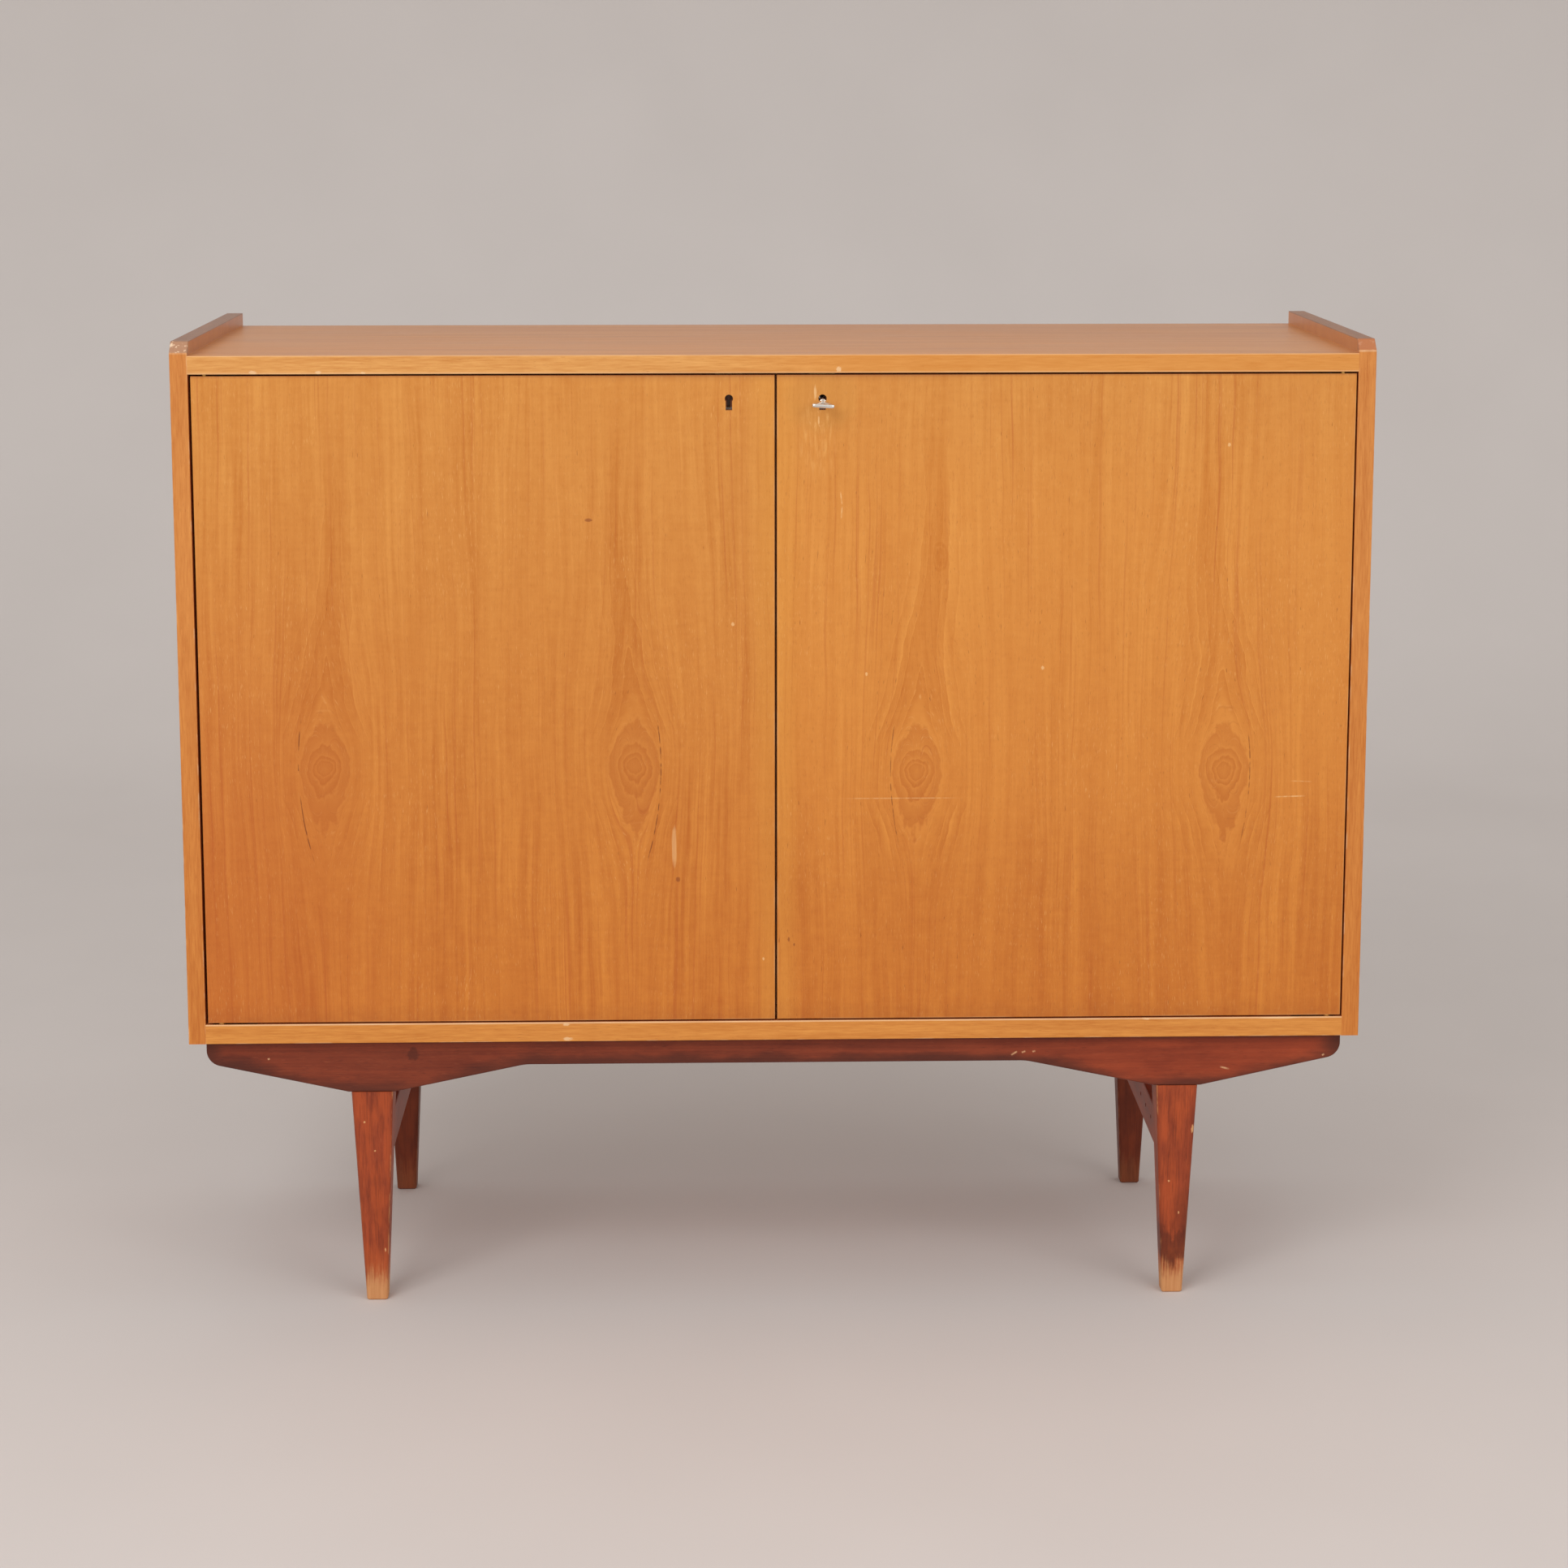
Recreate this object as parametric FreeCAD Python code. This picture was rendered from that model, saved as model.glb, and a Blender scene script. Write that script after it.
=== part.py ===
import FreeCAD, Part
import math
import os

# Sideboard with two inset doors on a tapered-leg stand
# Millimetres, +X to the right, +Y to the back, +Z up, floor at Z = 0

Vector = FreeCAD.Vector
os.makedirs("parts", exist_ok=True)

# Carcass
carcass_width = 1300.0
carcass_depth = 420.0
carcass_height = 778.0
side_thickness = 19.0
top_thickness = 20.0
bottom_thickness = 22.0
side_rise = 15.0
side_nose = 12.0
board_arris = 0.8

# Back panel in its rebate
back_thickness = 6.0
back_inset = 1.0
rebate_width = 10.0
rebate_clearance = 0.5

# Doors
door_thickness = 19.0
door_gap = 2.0
left_hinge_gap = 3.0
right_hinge_gap = 2.0
meeting_gap = 2.5
door_arris = 0.8

# Centre partition and shelves
partition_thickness = 19.0
partition_clearance = 0.5
shelf_thickness = 18.0
shelf_height = 352.0
shelf_setback = 36.0
shelf_clearance = 1.0
shelf_arris = 1.5

# Shelf pins and their rows of holes
pin_radius = 2.5
pin_depth = 8.0
pin_reach = 9.0
pin_flat = 1.0
pin_row_pitch = 40.0
pin_row_count = 5
pin_from_edge = 50.0
pin_clearance = 0.1

# Stand
stand_height = 309.0
stand_front_setback = 16.0
stand_back_setback = 2.0
apron_end_inset = 16.5
apron_depth = 42.0
apron_middle_height = 31.5
apron_leg_height = 61.5
apron_end_height = 27.5
apron_rise_length = 144.25
apron_shoulder = 3.0
apron_end_radius = 18.0
apron_bend_radius = 60.0
apron_knee_radius = 8.0
apron_arris = 2.0
leg_end_inset = 183.0
leg_top_width = 46.5
leg_foot_width = 23.4
leg_foot_depth = 21.0
leg_arris = 3.0
foot_arris = 1.5
stretcher_bottom = 160.0
stretcher_height = 42.0
stretcher_thickness = 24.0
stretcher_recess = 3.5
stretcher_arris = 2.0
peg_hole_radius = 2.5
peg_hole_depth = 6.0
peg_hole_first = 84.0
peg_hole_pitch = 42.0
peg_hole_count = 3
peg_hole_below_top = 19.0

# Dowels
dowel_radius = 4.0
dowel_in_end = 25.0
dowel_in_face = 12.0
dowel_clearance = 0.1
dowel_end_space = 1.0
carcass_dowel_count = 5
carcass_dowel_margin = 45.0
partition_dowel_count = 3
leg_dowel_radius = 5.0
leg_dowel_depth = 24.0
leg_dowel_offset = 11.0
stretcher_dowel_depth = 18.0
stretcher_dowel_offset = 10.0

# Pivot hinges
pivot_inset = 14.0
pivot_setback = 6.5
pivot_radius = 2.5
pivot_clearance = 0.05
pivot_tip = 2.0
pivot_well = 0.8
plate_thickness = 2.5
plate_width = 8.0
plate_end = 9.0
plate_reach = 40.0
plate_clearance = 0.2
washer_radius = 3.9
washer_clearance = 0.2
plate_screw_first = 14.0
plate_screw_pitch = 17.0
plate_screw_count = 2

# Locks
key_offset = 50.5
key_drop = 25.5
keyhole_radius = 4.5
keyhole_slot_width = 7.0
keyhole_slot_drop = 12.5
lock_width = 50.0
lock_wall = 2.0
lock_plate_thickness = 1.5
lock_plate_width = 62.0
lock_plate_drop = 2.5
lock_clearance = 0.25
lock_floor = 2.5
bolt_width = 28.0
bolt_thickness = 6.0
bolt_throw = 8.0
bolt_retreat = 0.5
bolt_foot = 4.5
stem_clearance = 1.0
bit_tip_clearance = 1.75
bit_slot_clearance = 0.5
strike_thickness = 1.5
strike_width = 13.0
strike_length = 56.0
strike_clearance = 0.6
mortise_spare = 1.5

# Key
key_reach = 28.0
key_stem_radius = 2.5
key_droop_angle = 8.0
key_roll_angle = 3.5
key_turn_angle = 56.0
bit_radius = 9.5
bit_thickness = 2.4
bit_width = 3.4
talon_clearance = 0.5
talon_lip = 7.4
ward_width = 0.9
ward_depth = 3.0
bow_width = 24.5
bow_length = 20.0
bow_thickness = 4.2
bow_band = 3.6
bow_hole_inset = 0.7
bow_arris = 1.4
collar_radius = 3.7
collar_length = 2.5

# Screws: shank radius, head radius and length of each kind
plate_screw_radius = 1.4
plate_screw_head = 2.8
plate_screw_length = 13.0
lock_screw_radius = 1.1
lock_screw_head = 2.2
lock_screw_length = 9.0
lock_screw_margin = 8.8
back_screw_radius = 1.5
back_screw_head = 3.2
back_screw_length = 16.0
back_screw_margin = 60.0
back_screw_count_across = 5
back_screw_count_up = 4
stand_screw_radius = 2.5
stand_screw_head = 4.8
stand_screw_grip = 15.0
stand_screw_sink = 9.0
stand_screw_inset = 50.0
screw_clearance = 0.1
screw_slot_width = 0.7
screw_slot_depth = 0.9

# Working allowances: how far cutters run past a face, how close counts as equal, steps of the key's turn
cut_over = 1.0
tolerance = 0.001
turn_step_count = 32

# Planes worked out from the sizes above
half_width = carcass_width / 2
inner_x = half_width - side_thickness
key_out = key_reach * math.cos(math.radians(key_droop_angle))
front = (key_out - carcass_depth) / 2
back = front + carcass_depth
base = stand_height
case_floor = base + bottom_thickness
side_top = base + carcass_height
top_face = side_top - side_rise
ceiling = top_face - top_thickness
door_bottom = case_floor + door_gap
door_top = ceiling - door_gap
door_back = front + door_thickness
rebate_depth = back_thickness + back_inset
back_face = back - rebate_depth
sides = {"left": -1, "right": 1}
hinge_gap = {"left": left_hinge_gap, "right": right_hinge_gap}
nodes = {}


# Small solids that the pieces are built from


def box(x0, x1, y0, y1, z0, z1):
    low = Vector(min(x0, x1), min(y0, y1), min(z0, z1))
    return Part.makeBox(abs(x1 - x0), abs(y1 - y0), abs(z1 - z0), low)


def rod(radius, start, direction, length):
    return Part.makeCylinder(radius, length, Vector(*start), Vector(*direction))


def prism(points, direction):
    corners = [Vector(*point) for point in points]
    return Part.Face(Part.makePolygon(corners + corners[:1])).extrude(Vector(*direction))


def spread(low, high, count):
    step = (high - low) / (count - 1)
    return [low + step * index for index in range(count)]


def edges_where(shape, test):
    return [edge for edge in shape.Edges if all(test(vertex.Point) for vertex in edge.Vertexes)]


def near(value, target):
    return abs(value - target) < tolerance


def screw_body(head, direction, radius, head_radius, length, grow):
    """A countersunk screw from its head's face, or with grow above 0 the hole for it."""
    start = Vector(*head)
    along = Vector(*direction)
    sink = head_radius - radius
    cone = Part.makeCone(head_radius + grow, radius + grow, sink, start, along)
    shank = Part.makeCylinder(radius + grow, length + grow, start, along)
    return cone.fuse(shank)


def screw(head, direction, radius, head_radius, length):
    body = screw_body(head, direction, radius, head_radius, length, 0.0)
    start = Vector(*head)
    along = Vector(*direction)
    across = Vector(1, 0, 0)
    side = along.cross(across)
    reach = head_radius + cut_over
    corner = start - across * reach - side * (screw_slot_width / 2)
    points = [
        corner,
        corner + across * 2 * reach,
        corner + across * 2 * reach + side * screw_slot_width,
        corner + side * screw_slot_width,
    ]
    slot = Part.Face(Part.makePolygon(points + points[:1])).extrude(along * screw_slot_depth)
    return body.cut(slot)


def screw_hole(head, direction, radius, head_radius, length):
    return screw_body(head, direction, radius, head_radius, length, screw_clearance)


def dowel_pair(centre, direction, radius, before, after):
    """A dowel that reaches before and after the joint's plane, and the bore that takes it."""
    along = Vector(*direction)
    start = Vector(*centre) - along * before
    pin = Part.makeCylinder(radius, before + after, start, along)
    bore_start = start - along * dowel_end_space
    bore_length = before + after + 2 * dowel_end_space
    bore = Part.makeCylinder(radius + dowel_clearance, bore_length, bore_start, along)
    return pin, bore


def cut_all(shape, tools):
    return shape.cut(tools) if tools else shape


# Dowels between the sides and the boards that they carry
carcass_dowels = []
side_bores = {"left": [], "right": []}
top_bores = []
bottom_bores = []
dowel_rows = spread(front + carcass_dowel_margin, back_face - carcass_dowel_margin, carcass_dowel_count)
for side, sign in sides.items():
    for y in dowel_rows:
        for level, bores in (
            ((ceiling + top_face) / 2, top_bores),
            ((base + case_floor) / 2, bottom_bores),
        ):
            centre = (sign * inner_x, y, level)
            pin, bore = dowel_pair(centre, (sign, 0, 0), dowel_radius, dowel_in_end, dowel_in_face)
            carcass_dowels.append(pin)
            bores.append(bore)
            side_bores[side].append(bore)

# Dowels between the partition and the boards above and below it
partition_front = door_back + partition_clearance
partition_bores = []
partition_rows = spread(
    partition_front + carcass_dowel_margin, back_face - carcass_dowel_margin, partition_dowel_count
)
for y in partition_rows:
    for level, up, bores in ((ceiling, 1, top_bores), (case_floor, -1, bottom_bores)):
        pin, bore = dowel_pair((0, y, level), (0, 0, up), dowel_radius, dowel_in_end, dowel_in_face)
        carcass_dowels.append(pin)
        bores.append(bore)
        partition_bores.append(bore)
nodes["carcass_dowels"] = Part.makeCompound(carcass_dowels)

# Shelves on pins: rows of holes in each side and in the partition
shelf_front = door_back + shelf_setback
shelf_back = back_face - shelf_clearance
shelf_bottom = case_floor + shelf_height
pin_axis = shelf_bottom + pin_flat - pin_radius
pin_columns = (shelf_front + pin_from_edge, shelf_back - pin_from_edge)
pin_middle = (pin_row_count - 1) / 2
partition_half = partition_thickness / 2
shelf_pins = []
for side, sign in sides.items():
    faces = ((sign * inner_x, sign, side_bores[side]), (sign * partition_half, -sign, partition_bores))
    for face_x, inward, bores in faces:
        for y in pin_columns:
            for row in range(pin_row_count):
                z = pin_axis + (row - pin_middle) * pin_row_pitch
                mouth = (face_x - inward * cut_over, y, z)
                hole_depth = pin_depth + dowel_end_space + cut_over
                bores.append(rod(pin_radius + pin_clearance, mouth, (inward, 0, 0), hole_depth))
            start = (face_x - inward * pin_reach, y, pin_axis)
            pin = rod(pin_radius, start, (inward, 0, 0), pin_reach + pin_depth)
            above = box(
                face_x,
                face_x - inward * (pin_reach + cut_over),
                y - pin_radius - cut_over,
                y + pin_radius + cut_over,
                shelf_bottom,
                shelf_bottom + pin_radius,
            )
            shelf_pins.append(pin.cut(above))
    shelf = box(
        sign * (partition_half + shelf_clearance),
        sign * (inner_x - shelf_clearance),
        shelf_front,
        shelf_back,
        shelf_bottom,
        shelf_bottom + shelf_thickness,
    )
    shelf_edges = edges_where(shelf, lambda point: near(point.y, shelf_front))
    long_edges = [edge for edge in shelf_edges if edge.Length > shelf_thickness + cut_over]
    nodes[side + "_shelf"] = shelf.makeFillet(shelf_arris, long_edges)
nodes["shelf_pins"] = Part.makeCompound(shelf_pins)

# Back panel and its screws
panel_x = inner_x + rebate_width - rebate_clearance
panel_bottom = case_floor - rebate_width + rebate_clearance
panel_top = ceiling + rebate_width - rebate_clearance
panel_rear = back_face + back_thickness
screw_x = inner_x + rebate_width / 2
screw_low = case_floor - rebate_width / 2
screw_high = ceiling + rebate_width / 2
across = spread(-screw_x + back_screw_margin, screw_x - back_screw_margin, back_screw_count_across)
upright = spread(screw_low + back_screw_margin, screw_high - back_screw_margin, back_screw_count_up)
back_places = [(x, z) for x in across for z in (screw_low, screw_high)]
back_places += [(x, z) for x in (-screw_x, 0, screw_x) for z in upright]
back_screws = []
back_holes = []
for x, z in back_places:
    size = (back_screw_radius, back_screw_head, back_screw_length)
    back_screws.append(screw((x, panel_rear, z), (0, -1, 0), *size))
    back_holes.append(screw_hole((x, panel_rear, z), (0, -1, 0), *size))
back_panel = box(-panel_x, panel_x, back_face, panel_rear, panel_bottom, panel_top)
nodes["back_panel"] = cut_all(back_panel, back_holes)
nodes["back_panel_screws"] = Part.makeCompound(back_screws)

# Stand: two shaped aprons, four tapered legs and two side stretchers
apron_bottom = base - apron_leg_height
apron_half = half_width - apron_end_inset
leg_x = apron_half - leg_end_inset
leg_inner_top = leg_x - leg_top_width / 2
leg_outer_top = leg_x + leg_top_width / 2
apron_knee = leg_inner_top - apron_shoulder
apron_flat_half = apron_knee - apron_rise_length
stand_screw_x = apron_flat_half - stand_screw_inset
apron_fronts = {"front": front + stand_front_setback, "back": back - stand_back_setback - apron_depth}
stand_screws = []
stand_holes = []
for y0 in apron_fronts.values():
    for x in (-stand_screw_x, 0, stand_screw_x):
        head_z = base - apron_middle_height + stand_screw_sink
        head = (x, y0 + apron_depth / 2, head_z)
        length = base + stand_screw_grip - head_z
        size = (stand_screw_radius, stand_screw_head, length)
        stand_screws.append(screw(head, (0, 0, 1), *size))
        stand_holes.append(screw_hole(head, (0, 0, 1), *size))
        sink_start = (head[0], head[1], head_z - stand_screw_sink - cut_over)
        sink_length = stand_screw_sink + cut_over
        stand_holes.append(rod(stand_screw_head + screw_clearance, sink_start, (0, 0, 1), sink_length))
nodes["stand_screws"] = Part.makeCompound(stand_screws)

leg_dowels = []
leg_bores = []
for y0 in apron_fronts.values():
    for sign in sides.values():
        for offset in (-leg_dowel_offset, leg_dowel_offset):
            centre = (sign * leg_x + offset, y0 + apron_depth / 2, apron_bottom)
            pin, bore = dowel_pair(centre, (0, 0, 1), leg_dowel_radius, leg_dowel_depth, leg_dowel_depth)
            leg_dowels.append(pin)
            leg_bores.append(bore)
nodes["leg_dowels"] = Part.makeCompound(leg_dowels)


def apron(y0):
    """A bar with a flat middle, two low seats for the legs and rising rounded ends."""
    middle = base - apron_middle_height
    end = base - apron_end_height
    right = [
        (apron_flat_half, middle),
        (apron_knee, apron_bottom),
        (leg_outer_top + apron_shoulder, apron_bottom),
        (apron_half, end),
        (apron_half, base),
    ]
    left = [(-x, z) for x, z in reversed(right)]
    outline = [(x, y0, z) for x, z in right + left]
    bar = prism(outline, (0, apron_depth, 0))
    rounds = (
        (right[0], apron_bend_radius),
        (right[1], apron_knee_radius),
        (right[2], apron_knee_radius),
        (right[3], apron_end_radius),
    )
    for (x, z), radius in rounds:
        corner = edges_where(bar, lambda point: near(abs(point.x), x) and near(point.z, z))
        crosswise = [edge for edge in corner if near(edge.Length, apron_depth)]
        bar = bar.makeFillet(radius, crosswise)
    low = base - cut_over
    rims = edges_where(bar, lambda point: near(point.y, y0) and point.z < low)
    rims += edges_where(bar, lambda point: near(point.y, y0 + apron_depth) and point.z < low)
    return bar.makeFillet(apron_arris, rims)


def leg(x, y0):
    """A leg that tapers evenly on all four sides: its front outline crossed with its side outline."""
    middle_y = y0 + apron_depth / 2
    seen_front = [
        (x - leg_foot_width / 2, y0, 0),
        (x + leg_foot_width / 2, y0, 0),
        (x + leg_top_width / 2, y0, apron_bottom),
        (x - leg_top_width / 2, y0, apron_bottom),
    ]
    seen_side = [
        (x - leg_top_width, middle_y - leg_foot_depth / 2, 0),
        (x - leg_top_width, middle_y + leg_foot_depth / 2, 0),
        (x - leg_top_width, middle_y + apron_depth / 2, apron_bottom),
        (x - leg_top_width, middle_y - apron_depth / 2, apron_bottom),
    ]
    solid = prism(seen_front, (0, apron_depth, 0)).common(prism(seen_side, (2 * leg_top_width, 0, 0)))
    arrises = [edge for edge in solid.Edges if edge.Length > apron_bottom - cut_over]
    solid = solid.makeFillet(leg_arris, arrises)
    sole = edges_where(solid, lambda point: near(point.z, 0))
    return solid.makeChamfer(foot_arris, sole)


plain_legs = {}
for end, y0 in apron_fronts.items():
    nodes[end + "_apron"] = cut_all(apron(y0), stand_holes + leg_bores)
    for side, sign in sides.items():
        plain_legs[end, side] = leg(sign * leg_x, y0)

# Stretchers run from leg to leg, cut to the legs' taper
stretcher_top = stretcher_bottom + stretcher_height
stretcher_middle = stretcher_bottom + stretcher_height / 2
leg_share = stretcher_middle / apron_bottom
leg_width_there = leg_foot_width + (leg_top_width - leg_foot_width) * leg_share
leg_depth_there = leg_foot_depth + (apron_depth - leg_foot_depth) * leg_share
stretcher_inner = leg_x - leg_width_there / 2 + stretcher_recess
stretcher_outer = stretcher_inner + stretcher_thickness
front_leg_y = apron_fronts["front"] + apron_depth / 2
back_leg_y = apron_fronts["back"] + apron_depth / 2
stretcher_dowels = []
stretcher_bores = []
for side, sign in sides.items():
    for leg_y, inward in ((front_leg_y, 1), (back_leg_y, -1)):
        for offset in (-stretcher_dowel_offset, stretcher_dowel_offset):
            centre = (
                sign * (stretcher_inner + stretcher_outer) / 2,
                leg_y + inward * leg_depth_there / 2,
                stretcher_middle + offset,
            )
            depth = stretcher_dowel_depth
            pin, bore = dowel_pair(centre, (0, inward, 0), dowel_radius, depth, dowel_in_end)
            stretcher_dowels.append(pin)
            stretcher_bores.append(bore)
nodes["stretcher_dowels"] = Part.makeCompound(stretcher_dowels)

for side, sign in sides.items():
    rail = box(
        sign * stretcher_inner,
        sign * stretcher_outer,
        front_leg_y,
        back_leg_y,
        stretcher_bottom,
        stretcher_top,
    )
    long_edges = [edge for edge in rail.Edges if near(edge.Length, back_leg_y - front_leg_y)]
    rail = rail.makeFillet(stretcher_arris, long_edges)
    rail = rail.cut([plain_legs["front", side], plain_legs["back", side]])
    peg_holes = []
    if side == "right":
        for index in range(peg_hole_count):
            y = apron_fronts["front"] + peg_hole_first + index * peg_hole_pitch
            mouth = (stretcher_inner - cut_over, y, stretcher_top - peg_hole_below_top)
            peg_holes.append(rod(peg_hole_radius, mouth, (1, 0, 0), peg_hole_depth + cut_over))
    nodes[side + "_stretcher"] = cut_all(rail, stretcher_bores + peg_holes)
    for end in apron_fronts:
        finished = cut_all(plain_legs[end, side], leg_bores + stretcher_bores)
        nodes[end + "_" + side + "_leg"] = finished

# Pivot hinges: pin plates in the boards, bored plates in the doors
pivot_y = front + pivot_setback
pin_length = door_gap + plate_thickness + pivot_tip
door_edge = {side: sign * (inner_x - hinge_gap[side]) for side, sign in sides.items()}
pivot_x = {side: door_edge[side] - sign * pivot_inset for side, sign in sides.items()}
pivot_screws = []
pivot_washers = []
door_cuts = {"left": [], "right": []}
door_plate_screws = {"left": [], "right": []}
top_recesses = []
bottom_recesses = []


def plate_block(side, z0, z1, grow):
    sign = sides[side]
    return box(
        pivot_x[side] + sign * (plate_end + grow),
        pivot_x[side] - sign * (plate_reach + grow),
        pivot_y - plate_width / 2 - grow,
        pivot_y + plate_width / 2 + grow,
        z0,
        z1,
    )


for side, sign in sides.items():
    levels = (
        ("bottom", case_floor, 1, door_bottom, bottom_recesses),
        ("top", ceiling, -1, door_top, top_recesses),
    )
    for end, seat, up, edge_z, recesses in levels:
        buried = seat - up * plate_thickness
        plate = plate_block(side, buried, seat, 0.0)
        pin = rod(pivot_radius, (pivot_x[side], pivot_y, buried), (0, 0, up), plate_thickness + pin_length)
        leaf = plate_block(side, edge_z, edge_z + up * plate_thickness, 0.0)
        bore_start = (pivot_x[side], pivot_y, edge_z - up * cut_over)
        bore_length = plate_thickness + 2 * cut_over
        leaf = leaf.cut(rod(pivot_radius + pivot_clearance, bore_start, (0, 0, up), bore_length))
        well_length = plate_thickness + pivot_tip + 2 * cut_over
        door_cuts[side].append(rod(pivot_radius + pivot_well, bore_start, (0, 0, up), well_length))
        leaf_inner = edge_z + up * plate_thickness
        door_cuts[side].append(plate_block(side, edge_z - up * cut_over, leaf_inner, plate_clearance))
        recesses.append(plate_block(side, buried, seat + up * cut_over, plate_clearance))
        plate_holes = []
        leaf_holes = []
        for index in range(plate_screw_count):
            x = pivot_x[side] - sign * (plate_screw_first + index * plate_screw_pitch)
            size = (plate_screw_radius, plate_screw_head, plate_screw_length)
            seat_head = (x, pivot_y, seat)
            pivot_screws.append(screw(seat_head, (0, 0, -up), *size))
            plate_holes.append(screw_hole(seat_head, (0, 0, -up), *size))
            leaf_head = (x, pivot_y, edge_z)
            door_plate_screws[side].append(screw(leaf_head, (0, 0, up), *size))
            leaf_holes.append(screw_hole(leaf_head, (0, 0, up), *size))
        recesses += plate_holes
        door_cuts[side] += leaf_holes
        nodes[side + "_" + end + "_pivot"] = plate.cut(plate_holes).fuse(pin).removeSplitter()
        nodes[side + "_door_" + end + "_plate"] = leaf.cut(leaf_holes)
    ring = rod(washer_radius, (pivot_x[side], pivot_y, case_floor), (0, 0, 1), door_gap)
    bore = rod(pivot_radius + washer_clearance, (pivot_x[side], pivot_y, case_floor), (0, 0, 1), door_gap)
    pivot_washers.append(ring.cut(bore))
nodes["pivot_screws"] = Part.makeCompound(pivot_screws)
nodes["pivot_washers"] = Part.makeCompound(pivot_washers)

# Locks: the key's bit lifts the bolt by a notch in the bolt's side
lock_z = door_top - key_drop
plate_front = door_back - lock_plate_thickness
bolt_back = plate_front - lock_clearance
bolt_front = bolt_back - bolt_thickness
pocket_front = bolt_front - lock_clearance
case_front = pocket_front - lock_wall
bit_plane = (bolt_front + bolt_back) / 2
stem_room = key_stem_radius + stem_clearance
bolt_bottom = lock_z - bolt_throw - stem_room - bolt_foot
pocket_bottom = bolt_bottom - lock_clearance
case_bottom = pocket_bottom - lock_floor
bolt_top = door_top - bolt_retreat


def bit_heights(reach, face):
    """Heights of the bit's leading (+1) or trailing (-1) face over the bolt, through the whole turn."""
    heights = []
    for step in range(turn_step_count + 1):
        share = step / turn_step_count
        angle = math.radians(key_turn_angle * share + key_roll_angle)
        lift = bolt_throw * share
        heights.append(reach * math.sin(angle) + face * bit_thickness / 2 * math.cos(angle) - lift)
    return heights


notch_top = lock_z + max(bit_heights(bit_radius, 1)) + talon_clearance
notch_bottom = lock_z + min(bit_heights(talon_lip, -1)) - talon_clearance


def lock_bolt(x):
    """A flat bolt with a slot round the key's stem and a notch for its bit."""
    half = bolt_width / 2
    plate = box(x - half, x + half, bolt_front, bolt_back, bolt_bottom, bolt_top)
    slot = box(
        x - talon_lip,
        x + stem_room,
        bolt_front - cut_over,
        bolt_back + cut_over,
        lock_z - bolt_throw - stem_room,
        lock_z + stem_room,
    )
    notch = box(
        x - bit_radius - bit_tip_clearance,
        x,
        bolt_front - cut_over,
        bolt_back + cut_over,
        notch_bottom,
        notch_top,
    )
    return plate.cut([slot, notch])


def keyhole(x, radius, width, drop, y0, y1):
    hole = rod(radius, (x, y0, lock_z), (0, 1, 0), y1 - y0)
    return hole.fuse(box(x - width / 2, x + width / 2, y0, y1, lock_z - drop, lock_z))


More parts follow.
